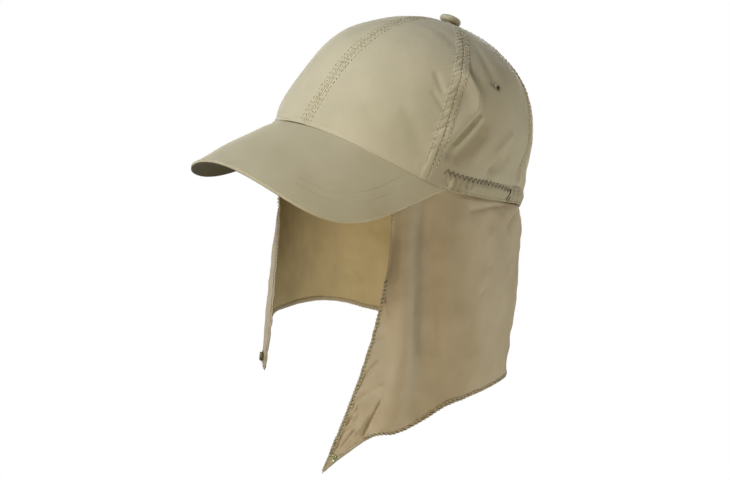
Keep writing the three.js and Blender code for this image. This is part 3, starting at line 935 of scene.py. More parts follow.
# Smaller creases and puffs that only the cloth has
CREASES = tuple(Fold(*row) for row in (
    (BULGE, 15.0, -3.0, True, 3.6),
    (BULGE, 9.5, -1.8, False, 2.5),
    (((72.8, 14.4), (71.0, 11.4), (67.8, 8.4), (64.8, 6.0)), 3.6, 1.2),
    (((74.8, 13.4), (73.2, 10.6), (70.4, 7.8), (66.6, 4.9)), 6.5, -1.6, True, 1.8),
    (((76.8, 10.8), (74.6, 8.4), (71.8, 6.0), (68.4, 3.4)), 4.2, 1.2),
    (((98.6, 9.8), (95.6, 7.6), (92.4, 5.6)), 5.0, -1.1),
    (((97.0, 4.6), (94.0, 3.1), (91.0, 1.9)), 3.0, 1.2, True),
    (((83.0, 7.6), (79.6, 4.8), (76.4, 3.0)), 11.0, -1.3),
    (((69.8, 54), (74.0, 42), (78.0, 30)), 5.0, 0.8),
    (((68.2, 53), (71.8, 42), (75.2, 31)), 8.0, -0.9),
    (((46.5, 28), (51.4, 21.5)), 3.6, 0.75),
    (((48.0, 20), (55.0, 14.6)), 3.2, 0.6),
    (((38, 14), (52, 2.5)), 8.0, -0.6),
    (((27, 61), (50, 49)), 8.0, 0.8),
    (((34, 56), (50, 44)), 9.0, -0.5),
    (((104, 30), (112, 12)), 9.0, 0.25),
    (((92, 46), (100, 34)), 7.0, 0.3),
    (((-24, 50), (-38, 22)), 40.0, 1.9),
    (((118, 12), (127, 5)), 14.0, -1.2),
    (((126, 8), (140, 3)), 6.0, 0.9, True),
    (((150, 18), (168, 8)), 7.0, 0.8),
    (((196, 14), (212, 5)), 6.0, 0.9, True),
    (((230, 22), (222, 9)), 6.0, 0.7),
    (((-60, 34), (-70, 20)), 6.0, 0.9),
    (((-84, 14), (-76, 4)), 5.0, 0.9, True),
    (((-50, 24), (-56, 13)), 5.0, 0.8),
))


@dataclass(frozen=True)
class CrownForm:
    """The cloth surface of the crown.

    Attributes:
        peak: form of the peak, which the rim follows in front.
        half_width: half width at the rim, mm.
        half_length: half length at the rim, mm.
        height: height above the rim's plane, mm.
        lean: how far the crown leans back, degrees.
        forward: how far the top sits behind the middle of the rim, mm.
        top_hole: radius of the hole under the button, mm.
        rim_return: azimuth over which the rim returns to its plane behind the peak, degrees.
        rim_sag, rim_lift: bumps along the rim, in mm round azimuths in degrees: how far it
            sags beside the ears and is drawn up where the back panels start.
        front, side, back: fullness of the curve across and up at the three sides.
        round_scale: rough length of cloth round the crown for one radian, mm.
        rise_scale: the same up the crown.
        pucker_pitch: distance between puckers along a seam, mm.
        band_top: height above the rim that the band hides, mm.
        rim_drawn, rim_slack: the same for how far the rolled edge is drawn up on the right,
            and the cloth puffs out behind.
        band_puff: bump above the rim where the cloth puffs out over the band, mm.
        slack_fade: heights above the rim between which the slack at the back fades, mm.
        wave_form, small_form, ridge_form: height and size of the cloth's irregular waves, of
            the smaller ones and of the ridges behind, mm.
    """

    peak: PeakForm
    half_width: float = 83.0
    half_length: float = 99.5
    height: float = 110.6
    lean: float = 25.3
    forward: float = 5.8
    top_hole: float = 4.0
    rim_return: float = 35.0
    rim_sag: Bump = (2.0, 97.0, 17.0)
    rim_lift: Bump = (2.2, 128.0, 16.0)
    front: Pair = (0.91, 0.87)
    side: Pair = (1.08, 0.51)
    back: Pair = (1.04, 0.79)
    round_scale: float = 90.0
    rise_scale: float = 95.0
    pucker_pitch: float = 5.4
    band_top: float = 13.0
    rim_drawn: Bump = (2.2, -36.0, 24.0)
    rim_slack: Bump = (2.9, 131.0, 20.0)
    band_puff: Bump = (0.8, 17.0, 5.0)
    slack_fade: Pair = (8.0, 26.0)
    wave_form: Pair = (0.5, 38.0)
    small_form: Pair = (0.2, 15.0)
    ridge_form: Pair = (0.45, 19.0)

    @property
    def top_turn(self) -> float:
        """Turn at the edge of the top hole."""
        return float(np.arccos(self.top_hole / self.half_length))

    def leaned(self, points: Grid) -> Grid:
        """Turns points or directions from the crown's upright frame to the part's frame."""
        c, s = np.cos(np.radians(self.lean)), np.sin(np.radians(self.lean))
        return points @ np.array([[1, 0, 0], [0, c, -s], [0, s, c]])

    def rim_radius(self, az: Grid) -> Grid:
        """Distance of the rim from the middle."""
        return 1 / np.hypot(np.sin(az) / self.half_width, np.cos(az) / self.half_length)

    def rim_height(self, az: Grid) -> Grid:
        """Height of the rim above its plane: it follows the peak in front.

        Args:
            az: azimuths in radians.

        Returns:
            Heights in millimetres.
        """
        turn = np.abs(wrapped(az))
        end = np.radians(self.peak.end)
        seated = np.minimum(turn, end)
        radius = self.rim_radius(seated)
        x, y = radius * np.sin(seated), -radius * np.cos(seated)
        across, out = self.peak.place(x, y, self.half_length)
        seat = self.peak.point(across, out, np.zeros_like(across), self.half_length)[..., 2]
        level = bump(np.degrees(turn), *self.rim_lift) - bump(np.degrees(turn), *self.rim_sag)
        return seat * (1 - smoothstep(turn, end, end + np.radians(self.rim_return))) + level

    def fullness(self, az: Grid, key: int) -> Grid:
        """Fullness of the curve, mixed by azimuth.

        Args:
            az: azimuths in radians.
            key: 0 for the fullness across, 1 for the one up.

        Returns:
            Exponents of the curve.
        """
        front = np.maximum(np.cos(az), 0) ** 2
        back = np.maximum(-np.cos(az), 0) ** 2
        side = self.side[key]
        return side + (self.front[key] - side) * front + (self.back[key] - side) * back

    def smooth(self, az: Grid, turn: Grid) -> Grid:
        """Point of the taut crown.

        Args:
            az: azimuths in radians.
            turn: turns in radians.

        Returns:
            Places in the crown's upright frame, mm.
        """
        az, turn = np.broadcast_arrays(az, turn)
        radius = self.rim_radius(az) * np.maximum(np.cos(turn), 0) ** self.fullness(az, 0)
        base = self.rim_height(az)
        z = base + (self.height - base) * np.maximum(np.sin(turn), 0) ** self.fullness(az, 1)
        y = -radius * np.cos(az) + self.forward * z / self.height
        return joined(radius * np.sin(az), y, z)

    def normal(self, az: Grid, turn: Grid) -> Grid:
        """Outward direction of the taut crown.

        Args:
            az: azimuths in radians.
            turn: turns in radians.

        Returns:
            Directions in the crown's upright frame.
        """
        step = 0.01
        t = np.clip(turn, 0.03, self.top_turn - 0.01)
        side = self.smooth(az + step, t) - self.smooth(az - step, t)
        up = self.smooth(az, t + step) - self.smooth(az, t - step)
        return unit(np.cross(side, up))

    def turn_at(self, az: Grid, height: Grid) -> Grid:
        """Turn at which the wall is a given height above the rim."""
        rise = np.clip(height / (self.height - self.rim_height(az)), 0, 1)
        return np.arcsin(rise ** (1 / self.fullness(az, 1)))

    def width_at(self, az: Grid, turn: Grid) -> Grid:
        """Length of cloth round the crown for one radian of azimuth."""
        return self.rim_radius(az) * np.maximum(np.cos(turn), 0.02) ** self.fullness(az, 0)

    def fold_depth(self, az: Grid, turn: Grid, folds: Sequence[Fold]) -> Grid:
        """Depth of folds at places of the crown.

        Args:
            az: azimuths in radians.
            turn: turns in radians.
            folds: the folds to add up.

        Returns:
            Depths in millimetres.
        """
        here = self.smooth(az, turn)
        deep = np.zeros(here.shape[:-1])
        for fold in folds:
            places = np.radians(np.array(fold.path, float))
            stops = self.smooth(places[:, 0], places[:, 1])
            gap, nearest = to_path(here, stops)
            middle = np.interp(nearest, np.arange(len(places)), places[:, 0])
            deep = deep + fold.depth(gap, wrapped(az - middle) > 0)
        return deep

    def seam_relief(self, az: Grid, turn: Grid) -> Grid:
        """Height of the seams above the taut cloth.

        Args:
            az: azimuths in radians.
            turn: turns in radians.

        Returns:
            Heights in millimetres: folded cloth, puckers, stitch grooves and the seam line.
        """
        az, turn = np.broadcast_arrays(az, turn)
        place = self.smooth(az, turn)
        above = place[..., 2] - self.rim_height(az)
        under_band = np.cos(az) < np.cos(np.radians(66.0))
        shown = np.where(under_band, smoothstep(above, self.band_top - 1, self.band_top + 3), 1.0)
        length = turn * self.rise_scale
        total = np.zeros(place.shape[:-1])
        for number, seam in enumerate(SEAMS):
            offset = wrapped(az - seam.azimuth(turn)) * self.width_at(az, turn)
            wander = cloth_noise(place, 13.0, 20 + number)
            height = np.zeros(place.shape[:-1])
            for side, sign in enumerate((-1.0, 1.0)):
                width = abs(seam.edges[side])
                out = sign * offset / width
                inside = (out > 0) & (out < 1)
                arch = np.where(inside, np.sin(np.pi * np.clip(out, 0, 1)), 0.0) ** 0.55
                # The puckers slant away from the seam and wander a little
                slanted = length - sign * 0.55 * out * width
                phase = np.pi * (slanted / self.pucker_pitch + 0.9 * wander)
                bumps = np.abs(np.sin(phase)) ** 0.7 - 0.62
                beyond = np.exp(-np.maximum(out - 1, 0) * width / 2.2) * smoothstep(out, 0.9, 1.05)
                strength = seam.puckers[side] * seam.life(turn)
                height = height + (seam.plump[side] + strength * bumps) * arch
                height = height + 0.45 * strength * bumps * beyond * (1 - arch)
            # Each stitch row lies in a groove, unless it runs in the seam line itself
            for row in seam.rows:
                if abs(row) > 0.5:
                    height = height - 0.16 * bell(offset - row, 0.8)
            height = height - 0.25 * bell(offset, 0.6)
            total = total + np.where(np.abs(offset) < 18.0, height * shown, 0.0)
        return total

    def rim_relief(self, az: Grid, turn: Grid) -> Grid:
        """The rolled edge over the peak and the slack that puffs out above the band.

        Args:
            az: azimuths in radians.
            turn: turns in radians.

        Returns:
            Heights in millimetres.
        """
        above = self.smooth(az, turn)[..., 2] - self.rim_height(az)
        on_peak = smoothstep(np.cos(az), np.cos(np.radians(72.0)), np.cos(np.radians(62.0)))
        degrees = np.degrees(wrapped(az))
        edge = above - bump(degrees, *self.rim_drawn)
        roll = bump(edge, 0.5, 0.9, 1.3) - bump(edge, 0.15, 2.8, 1.3)
        spot = joined(az * self.round_scale, turn * self.rise_scale, az * 0)
        puff = bump(above, *self.band_puff) * (0.75 + 0.6 * cloth_noise(spot, 9.0, 71))
        loose = bump(np.abs(degrees), *self.rim_slack) * (1 - smoothstep(above, *self.slack_fade))
        return roll * on_peak + puff * (1 - on_peak) + loose

    def relief(self, az: Grid, turn: Grid) -> Grid:
        """Height of the slack, sewn cloth above the taut crown.

        Args:
            az: azimuths in radians.
            turn: turns in radians.

        Returns:
            Heights in millimetres.
        """
        place = self.smooth(az, turn)
        loose = smoothstep(place[..., 2] - self.rim_height(az), 2.0, 14.0)
        uneven = waves(place, self.wave_form, 3) + waves(place, self.small_form, 5)
        uneven = uneven + smoothstep(-np.cos(az), -0.45, 0.1) * ridges(place, self.ridge_form, 8, 0.35)
        return (
            self.seam_relief(az, turn) + self.rim_relief(az, turn)
            - self.fold_depth(az, turn, SLACK) - self.fold_depth(az, turn, CREASES)
            + loose * uneven
        )

    def point(self, az: Grid, turn: Grid, raised: Grid) -> Grid:
        """Point above the taut crown, in the part's frame."""
        lifted = self.smooth(az, turn) + self.normal(az, turn) * np.asarray(raised)[..., None]
        return self.leaned(lifted)

    def surface(self, az: Grid, turn: Grid, above: float = 0.0) -> Grid:
        """Point of the cloth's outer face, in the part's frame."""
        return self.point(az, turn, self.relief(az, turn) + above)


# Sub-assemblies


@dataclass
class Crown:
    """Six sewn panels with their seams, stitches, eyelets and the button.

    Attributes:
        form: the cloth surface.
        finishes: the materials.
        cloth: thickness of the wall, mm.
        columns: points across the plain part of a panel.
        seam_columns: points across each seam edge of a panel.
        rows: points up a panel.
        seam_zone: width of the finer strip at each seam, mm.
        gap: distance between two panels, mm.
        edge_lift: how far the panels' lower edge is kept off the peak, mm.
        names: the panels' solids, from the wearer's left front.
        eyelet_azimuth, eyelet_turn: place of an air hole, degrees.
        eyelet_hole, eyelet_ring: inner and outer radius of its sewn ring, mm.
        button_radius, button_height: size of the button, mm.
    """

    form: CrownForm
    finishes: Finishes
    cloth: float = 0.9
    columns: int = 64
    seam_columns: int = 22
    rows: int = 220
    seam_zone: float = 8.0
    gap: float = 0.04
    edge_lift: float = 0.1
    names: tuple[str, ...] = (
        "crown_front_left", "crown_side_left", "crown_back_left",
        "crown_back_right", "crown_side_right", "crown_front_right",
    )
    eyelet_azimuth: float = 82.7
    eyelet_turn: float = 26.6
    eyelet_hole: float = 1.5
    eyelet_ring: float = 2.6
    button_radius: float = 8.0
    button_height: float = 6.0

    def panel(self, index: int) -> Piece:
        """Builds one panel as a closed wall of cloth.

        Args:
            index: number of the panel, from the wearer's left front.

        Returns:
            The panel.
        """
        before, after = SEAMS[index], SEAMS[(index + 1) % len(SEAMS)]
        wrap = 2 * np.pi if index + 1 == len(SEAMS) else 0.0
        turn = self.form.top_turn * np.linspace(0, 1, self.rows) ** 1.25
        az_before, az_after = before.azimuth(turn), after.azimuth(turn) + wrap
        width = self.form.width_at((az_before + az_after) / 2, turn) * (az_after - az_before)
        zone = np.minimum(self.seam_zone, 0.3 * width) / width
        edge = self.gap / width
        fine = np.linspace(0, 1, self.seam_columns)[:, None]
        middle = np.linspace(0, 1, self.columns + 2)[1:-1, None]
        share = np.concatenate([
            edge + (zone - edge) * fine,
            zone + (1 - 2 * zone) * middle,
            1 - edge - (zone - edge) * fine[::-1],
        ])
        az = az_before + share * (az_after - az_before)
        turns = np.broadcast_to(turn, az.shape)
        outer = self.form.surface(az, turns)
        inner = self.form.surface(az, turns, -self.cloth)
        outer[:, 0, 2] += self.edge_lift
        inner[:, 0, 2] += self.edge_lift
        run = np.concatenate([[0.0], np.cumsum(np.diff(turn))]) * self.form.half_length
        flat = joined((share - 0.5) * width, np.broadcast_to(run, az.shape))
        points, faces = wall_mesh(outer, inner)
        name = self.names[index]
        # The side panels take the darker copy of the cloth, painted shade
        cloth = self.finishes.side if "side" in name else self.finishes.crown
        piece = mesh_piece(name + "_cloth", points, faces, cloth, flat.reshape(-1, 2) * MM)
        declare(name)
        return piece

    def seam_rows(self, seam: Seam) -> list[tuple[Grid, Grid]]:
        """Lines of the stitch rows of a seam.

        Args:
            seam: the seam.

        Returns:
            The line of each row and the cloth's outward direction along it. The rows stop at
            the band, which lies behind the peak.
        """
        in_front = np.cos(np.radians(seam.base)) > 0.3
        turn = np.linspace(0.02 if in_front else 0.06, self.form.top_turn - 0.12, 160)
        middle = seam.azimuth(turn)
        above = self.form.smooth(middle, turn)[:, 2] - self.form.rim_height(middle)
        keep = (above > self.form.band_top) | in_front
        rows = []
        for offset in seam.rows:
            az = middle + offset / self.form.width_at(middle, turn)
            line = self.form.surface(az, turn, 0.12)
            normal = self.form.leaned(self.form.normal(az, turn))
            rows.append((line[keep], normal[keep]))
        return rows

    def seam_stitches(self) -> Piece:
        """Sews the rows beside all seams, as one piece."""
        rows = [row for seam in SEAMS for row in self.seam_rows(seam)]
        return SEAM_STITCH.sew("crown_seam_stitches", rows, self.finishes.thread)

    def needle_holes(self) -> Piece:
        """Marks the needle holes between the stitches with dark specks of painted shade.

        Returns:
            One piece with all the holes, as dark specks of painted shade.
        """
        rows = []
        for seam in (LEFT_SIDE_SEAM, RIGHT_SIDE_SEAM, LEFT_BACK_SEAM, RIGHT_BACK_SEAM):
            for line, normal in self.seam_rows(seam):
                run = path_length(line)
                shifted = np.arange(1.65, run[-1], 0.8)
                points, facing = (
                    np.stack([np.interp(shifted, run, values[:, k]) for k in range(3)], axis=-1)
                    for values in (line, normal)
                )
                rows.append((points - unit(facing) * 0.1, unit(facing)))
        return NEEDLE_HOLE.sew("crown_needle_holes_painted_shade", rows, self.finishes.dark_thread_and_needle_hole_shade)

    def eyelet(self, sign: int) -> tuple[Piece, Piece]:
        """Builds one air hole: a dark disc in the cloth, painted shadow for the hole, and the sewn ring
        round it.

        Args:
            sign: 1 for the wearer's left, -1 for the right.

        Returns:
            The painted hole shadow and the ring.
        """
        az = np.radians(sign * self.eyelet_azimuth)
        turn = np.radians(self.eyelet_turn)
        side = "left" if sign > 0 else "right"
        point = self.form.surface(az, turn)
        normal = self.form.leaned(self.form.normal(az, turn))
        seat = seat_at(point, normal)
        hole = self.eyelet_hole
        air_hole_shadow_disc = mesh_piece(f"eyelet_{side}_hole", *turned_mesh(
            [(hole, -0.2), (hole, 0.16), (hole * 0.6, 0.12), (hole * 0.2, 0.08)], 16, seat,
        ), self.finishes.air_hole_painted_shadow)
        angle = np.linspace(0, 2 * np.pi, 61)
        centre = (hole + self.eyelet_ring) / 2
        ring = joined(np.cos(angle) * centre, np.sin(angle) * centre, angle * 0 + 0.25)
        matrix = np.array(seat)
        line = ring @ matrix[:3, :3].T + matrix[:3, 3]
        facing = np.broadcast_to(normal, line.shape)
        sewn = EYELET_STITCH.sew(f"eyelet_{side}_ring", [(line, facing)], self.finishes.groove_thread)
        declare(f"eyelet_{side}")
        return air_hole_shadow_disc, sewn

    def button(self) -> Piece:
        """Builds the cloth covered button on the top.

        Returns:
            The button.
        """
        r, h = self.button_radius, self.button_height
        profile = [
            (0.52, -0.35), (0.56, 0.10), (0.80, 0.16), (0.93, 0.24), (0.99, 0.36), (1.0, 0.50),
            (0.985, 0.64), (0.93, 0.78), (0.84, 0.88), (0.70, 0.945), (0.52, 0.98),
            (0.34, 0.995), (0.18, 1.0), (0.05, 1.0),
        ]
        top = self.form.leaned(np.array([0.0, self.form.forward - 0.8, self.form.height + 0.7]))
        seat = seat_at(top, self.form.leaned(np.array([0.0, 0.08, 1.0])))
        points, faces = turned_mesh([(a * r, b * h) for a, b in profile], 48, seat)
        piece = mesh_piece("top_button_cloth", points, faces, self.finishes.crown, points[:, :2] * MM)
        declare("top_button")
        return piece

    def build(self) -> list[Piece]:
        """Builds the whole crown.

        Returns:
            Its pieces.
        """
        panels = [self.panel(index) for index in range(len(self.names))]
        sewn = [self.seam_stitches(), self.needle_holes()]
        return [*panels, *sewn, *self.eyelet(1), *self.eyelet(-1), self.button()]


@dataclass
class Peak:
    """The stiff curved peak with its cloth cover, edge seam and stitched arcs.

    Attributes:
        form: the curved face.
        crown: the crown it is sewn to.
        finishes: the materials.
        columns: points from end to end.
        steps: points from the crown to the edge.
        arc_depth: depth of the groove that an arc lies in, mm.
        crest: bump across the peak of its fuller right half, mm.
        crest_fade: distances forward between which that fades, mm.
        seated_crest: the same bump where the peak goes under the crown.
        crown_zone: distances from there between which the one goes over into the other, mm.
        arcs: across and out of the points of the two stitched arcs on one half, mm.
    """

    form: PeakForm
    crown: CrownForm
    finishes: Finishes
    columns: int = 260
    steps: int = 90
    arc_depth: float = 0.2
    crest: Bump = (2.0, -50.0, 48.0)
    crest_fade: Pair = (34.0, 62.0)
    seated_crest: Bump = (2.2, -50.0, 34.0)
    crown_zone: Pair = (4.0, 12.0)
    arcs: tuple[Pairs, ...] = (
        ((46.0, 42.0), (54.0, 38.5), (61.0, 34.5), (67.0, 28.0), (71.5, 19.2), (74.8, 9.0),
         (76.8, -2.0), (77.3, -12.0), (77.2, -22.0)),
        ((48.0, 47.5), (56.0, 44.5), (62.5, 41.0), (69.0, 35.5), (75.5, 26.8), (79.5, 18.0),
         (82.0, 8.0), (83.6, -4.0), (84.2, -17.5)),
    )

    def outline(self, side: Grid) -> tuple[Grid, Grid]:
        """Outer edge of the peak, a Bezier curve on each half.

        Args:
            side: from -1 at the right end to 1 at the left one.

        Returns:
            Distances across and out, mm.
        """
        t = 1 - np.abs(side)
        end = np.radians(self.form.end)
        radius = self.crown.rim_radius(end)
        start = self.form.place(radius * np.sin(end), -radius * np.cos(end), self.crown.half_length)
        w = ((1 - t) ** 3, 3 * t * (1 - t) ** 2, 3 * t * t * (1 - t), t**3)
        across = w[0] * start[0] + w[1] * self.form.shoulder[0] + w[2] * self.form.corner[0]
        out = (w[0] * start[1] + w[1] * self.form.shoulder[1] + w[2] * self.form.corner[1]
               + w[3] * self.form.reach)
        return across * np.sign(side), out

    def arc_line(self, points: Pairs, sign: int) -> Grid:
        """A smooth line through an arc's points, across and out, on one half."""
        rows = np.array(points, float) * (sign, 1)
        return along(rows, np.linspace(0, len(rows) - 1, 120))

    def relief(self, across: Grid, out: Grid, from_edge: Grid, from_joint: Grid) -> Grid:
        """Height of the sewn cover above the plain face.

        Args:
            across: distances from the middle, mm.
            out: distances forward, mm.
            from_edge: distances from the outer edge, mm.
            from_joint: distances from the crown, mm.

        Returns:
            Heights in millimetres: edge seam, arcs, slight puckers and the fuller right half.
        """
        here = joined(across, out)
        height = 0.12 * cloth_noise(joined(across, out, across * 0), 30.0, 2)
        for points in self.arcs:
            for sign in (1, -1):
                line = self.arc_line(points, sign)[::3]
                gap = np.full(across.shape, 1e9)
                for spot in line:
                    gap = np.minimum(gap, np.linalg.norm(here - spot, axis=-1))
                height = height - self.arc_depth * bell(gap, 1.5)
        height = height + bump(from_edge, 0.2, 0.9, 1.1) - bump(from_edge, 0.12, 2.4, 0.9)
        free = smoothstep(from_joint, *self.crown_zone)
        crest = bump(across, *self.crest) * (1 - smoothstep(out, *self.crest_fade))
        return height + np.maximum(crest * free, bump(across, *self.seated_crest) * (1 - free))

    def build(self) -> list[Piece]:
        """Builds the peak and its stitches.

        Returns:
            The pieces.
        """
        front = self.crown.half_length
        side = np.linspace(-1, 1, self.columns)[:, None]
        step = np.linspace(0, 1, self.steps)[None, :] ** 0.85
        az = np.radians(self.form.end) * side
        radius = self.crown.rim_radius(az) - self.form.seat
        inner_across, inner_out = self.form.place(radius * np.sin(az), -radius * np.cos(az), front)
        edge_across, edge_out = self.outline(side)
        across = inner_across + (edge_across - inner_across) * step
        out = inner_out + (edge_out - inner_out) * step
        from_edge = np.hypot(edge_across - across, edge_out - out)
        round_off = self.form.thick * 0.5 * (1 - np.sqrt(1 - np.clip(1 - from_edge / 1.4, 0, 1) ** 2))
        from_joint = np.hypot(inner_across - across, inner_out - out)
        lift = self.relief(across, out, from_edge, from_joint)
        top = self.form.point(across, out, round_off - lift, front)
        under = self.form.point(across, out, self.form.thick - round_off - 0.8 * lift, front)
        # The part under the crown keeps below its edge
        hidden = smoothstep(self.crown.rim_radius(az) - np.hypot(top[..., 0], top[..., 1]), 0.2, 1.2)
        top[..., 2] -= 0.25 * hidden
        points, faces = wall_mesh(self.crown.leaned(top), self.crown.leaned(under))
        flat = joined(across, out).reshape(-1, 2) * MM
        piece = mesh_piece("peak_cloth_cover", points, faces, self.finishes.peak, flat)
        # The underside takes a dark copy of the cloth: painted shade under the peak
        paint_inner_face(piece, self.finishes.peak_underside_painted_shade, (self.columns - 1) * (self.steps - 1))
        declare("peak")
        return [piece, self.stitches()]

    def row(self, across: Grid, out: Grid, above: float) -> tuple[Grid, Grid]:
        """A stitch row on the upper face.

        Args:
            across: distances from the middle, mm.
            out: distances forward, mm.
            above: height above the plain face, mm.

        Returns:
            The line and its outward directions.
        """
        front = self.crown.half_length
        line = self.form.point(across, out, np.full(across.shape, -above), front)
        base = self.form.point(across, out, np.full(across.shape, 1.0), front)
        return self.crown.leaned(line), self.crown.leaned(unit(line - base))

    def stitches(self) -> Piece:
        """Sews the arcs, as one piece."""
        rows = [self.row(*self.arc_line(points, sign).T, -0.28) for points in self.arcs
                for sign in (1, -1)]
        return ARC_STITCH.sew("peak_arc_stitches", rows, self.finishes.groove_thread)


@dataclass
class SideBand:
    """The gathered band along the lower edge of the side and back panels.

    Attributes:
        form: the crown it is sewn to.
        finishes: the materials.
        front: azimuth of the foot of its front ends, degrees.
        rake: how far forward the top of the front ends leans, degrees.
        height: height, mm.
        thick: thickness, mm.
        puff: how far its middle stands out, mm.
        clear: distance from the crown's cloth, mm.
        hem_row: share of the height where the lower stitch row runs.
        gather_height, ripple_height: height of the gathers and of the ripples elsewhere, mm.
        gather_fade: distances from the front end between which the gathers fade, mm.
        gather_turn: turn of the gathers' wave for each mm, radians.
        knot_height, knot_width: size of the bunched cloth near the front end, mm.
        knot_place: its distance from that end in mm and its share of the height.
        strap_height, strap_width: height and half width of the strap on each back seam, mm.
        columns, rows: points along and up the band.
    """

    form: CrownForm
    finishes: Finishes
    front: float = 69.9
    rake: float = 3.6
    height: float = 12.0
    thick: float = 1.0
    puff: float = 0.3
    clear: float = 0.4
    hem_row: float = 0.13
    gather_height: float = 0.95
    ripple_height: float = 0.35
    gather_fade: Pair = (9.0, 26.0)
    gather_turn: float = 1.25
    knot_height: float = 1.8
    knot_width: float = 6.5
    knot_place: Pair = (14.5, 0.3)
    strap_height: float = 0.6
    strap_width: float = 4.5
    columns: int = 620
    rows: int = 26

    def from_end(self, az: Grid) -> Grid:
        """Distance from the foot of the nearer front end, mm."""
        turned = np.pi - np.abs(wrapped(az - np.pi))
        return (turned - np.radians(self.front)) * self.form.round_scale

    def slack(self, az: Grid, turn: Grid) -> tuple[Grid, Grid]:
        """Depth of the crown's large folds, and how far its back puffs out."""
        puffed = self.form.rim_relief(az, turn) * smoothstep(-np.cos(az), 0.0, 0.4)
        return self.form.fold_depth(az, turn, SLACK), puffed

    def gathers(self, az: Grid, share: Grid) -> Grid:
        """Height of the gathers, strong near the front ends and faint elsewhere.

        Args:
            az: azimuths in radians.
            share: shares up the band.

        Returns:
            Heights in millimetres.
        """
        from_end = self.from_end(az)
        strong = 1 - smoothstep(from_end, *self.gather_fade)
        spot = joined(from_end, share * 7.0, az * 0)
        wave = np.sin(from_end * self.gather_turn + waves(spot, (2.2, 8.0), 31) + 1.2 * share)
        wave = wave * (0.85 + 0.8 * cloth_noise(spot, 10.0, 33))
        open_edge = 0.25 + 0.75 * np.sin(np.pi * np.clip(share * 0.9, 0.05, 0.95))
        fine = cloth_noise(spot, 6.0, 37)
        beside = np.hypot(from_end - self.knot_place[0], (share - self.knot_place[1]) * self.height)
        knot = self.knot_height * bell(beside, self.knot_width)
        knot = knot * (0.7 + 0.9 * cloth_noise(spot, 3.2, 39))
        gathered = strong * self.gather_height * wave
        return (gathered + self.ripple_height * (1 - strong) * fine) * open_edge + knot

    def raised(self, az: Grid, share: Grid) -> Grid:
        """Height of the band's outer face above the taut crown.

        Args:
            az: azimuths in radians.
            share: shares up the band.

        Returns:
            Heights in millimetres.
        """
        puff = self.puff * np.sin(np.pi * np.clip(share, 0, 1))
        groove = 0.3 * bell((share - self.hem_row) * self.height, 1.0)
        # A short strap covers each back seam
        strap = np.zeros_like(az)
        for seam in (LEFT_BACK_SEAM, RIGHT_BACK_SEAM):
            offset = wrapped(az - np.radians(seam.base)) * self.form.rim_radius(az)
            strap = strap + self.strap_height * smoothstep(self.strap_width - np.abs(offset), -0.3, 0.3)
        gathers = np.maximum(self.gathers(az, share), -self.thick * 0.5) * (strap < 0.3)
        turn = self.form.turn_at(az, self.height * share)
        folds, loose = self.slack(az, turn)
        cloth = self.form.relief(az, turn) + 0.15
        from_end = self.from_end(az) + np.radians(self.rake) * self.form.round_scale * share
        plain = self.clear + self.thick + puff + gathers - groove - folds + loose
        sewn_down = np.maximum(smoothstep(share, 0.55, 1.0), 1 - smoothstep(from_end, 0.0, 2.6))
        return plain + (cloth - plain) * sewn_down + strap * (1 - smoothstep(share, 1.0, 1.1))

    def surface(self, az: Grid, share: Grid, above: float = 0.0) -> Grid:
        """Point of the outer face; share runs from 0 at the lower edge to 1."""
        turn = self.form.turn_at(az, self.height * share)
        return self.form.point(az, turn, self.raised(az, share) + above)

    def build(self) -> list[Piece]:
        """Builds the band and its stitches.

        Returns:
            The pieces.
        """
        side = np.linspace(-1, 1, self.columns)[:, None]
        share = np.linspace(0.02, 1, self.rows)[None, :]
        side, share = np.broadcast_arrays(side, share)
        az = np.pi + side * (np.pi - np.radians(self.front - self.rake * share))
        outer = self.surface(az, share)
        turn = self.form.turn_at(az, self.height * share)
        folds, loose = self.slack(az, turn)
        inner = self.form.point(az, turn, self.clear - 0.25 - folds + loose * 0.6)
        points, faces = wall_mesh(outer, inner)
        flat = joined(az * self.form.round_scale, share * self.height) * MM
        piece = mesh_piece("side_band_cloth", points, faces, self.finishes.band, flat.reshape(-1, 2))
        declare("side_band")
        return [piece, self.edge_stitches(), self.plain_row(), self.bar_tacks()]

    def row(self, az: Grid, share: Grid, above: float) -> tuple[Grid, Grid]:
        """A stitch row on the band with its outward directions."""
        facing = self.form.normal(az, self.form.turn_at(az, self.height * share))
        return self.surface(az, share, above), self.form.leaned(facing)

    def edge_stitches(self) -> Piece:
        """Sews the row along the lower edge and the straps at the back seams.

        Returns:
            The stitches.
        """
        az = np.radians(np.linspace(self.front + 1, 359 - self.front, 900))
        rows = [self.row(az, np.full(az.shape, self.hem_row), 0.1)]
        share = np.linspace(0.06, 0.97, 30)
        for seam in (LEFT_BACK_SEAM, RIGHT_BACK_SEAM):
            middle = np.radians(seam.base)
            for offset in (-3.2, 3.2):
                spot = np.full(share.shape, middle + offset / self.form.rim_radius(middle))
                rows.append(self.row(spot, share, 0.1))
        return BAND_STITCH.sew("band_edge_stitches", rows, self.finishes.groove_thread)

    def plain_row(self) -> Piece:
        """Sews a plain ornamental zigzag just above the band on both sides.

        Returns:
            The stitches.
        """
        rows = []
        corners = 35
        sway = 1.8
        row_azimuth = (65.5, 74.0, 83.5, 94.5, 104.0, 113.0)
        row_height = (11.6, 11.3, 10.6, 11.3, 10.2, 8.6)
        for sign in (1, -1):
            place = np.linspace(row_azimuth[0], row_azimuth[-1], corners)
            tall = np.interp(place, row_azimuth, row_height)
            tall = tall + sway * np.where(np.arange(corners) % 2, 1.0, -1.0)
            fine = np.linspace(0, corners - 1, corners * 8)
            az = sign * np.radians(np.interp(fine, np.arange(corners), place))
            rows.append(self.row(az, np.interp(fine, np.arange(corners), tall) / self.height, 0.15))
        return ZIGZAG_STITCH.sew("band_zigzag_stitches", rows, self.finishes.dark_thread_and_needle_hole_shade)

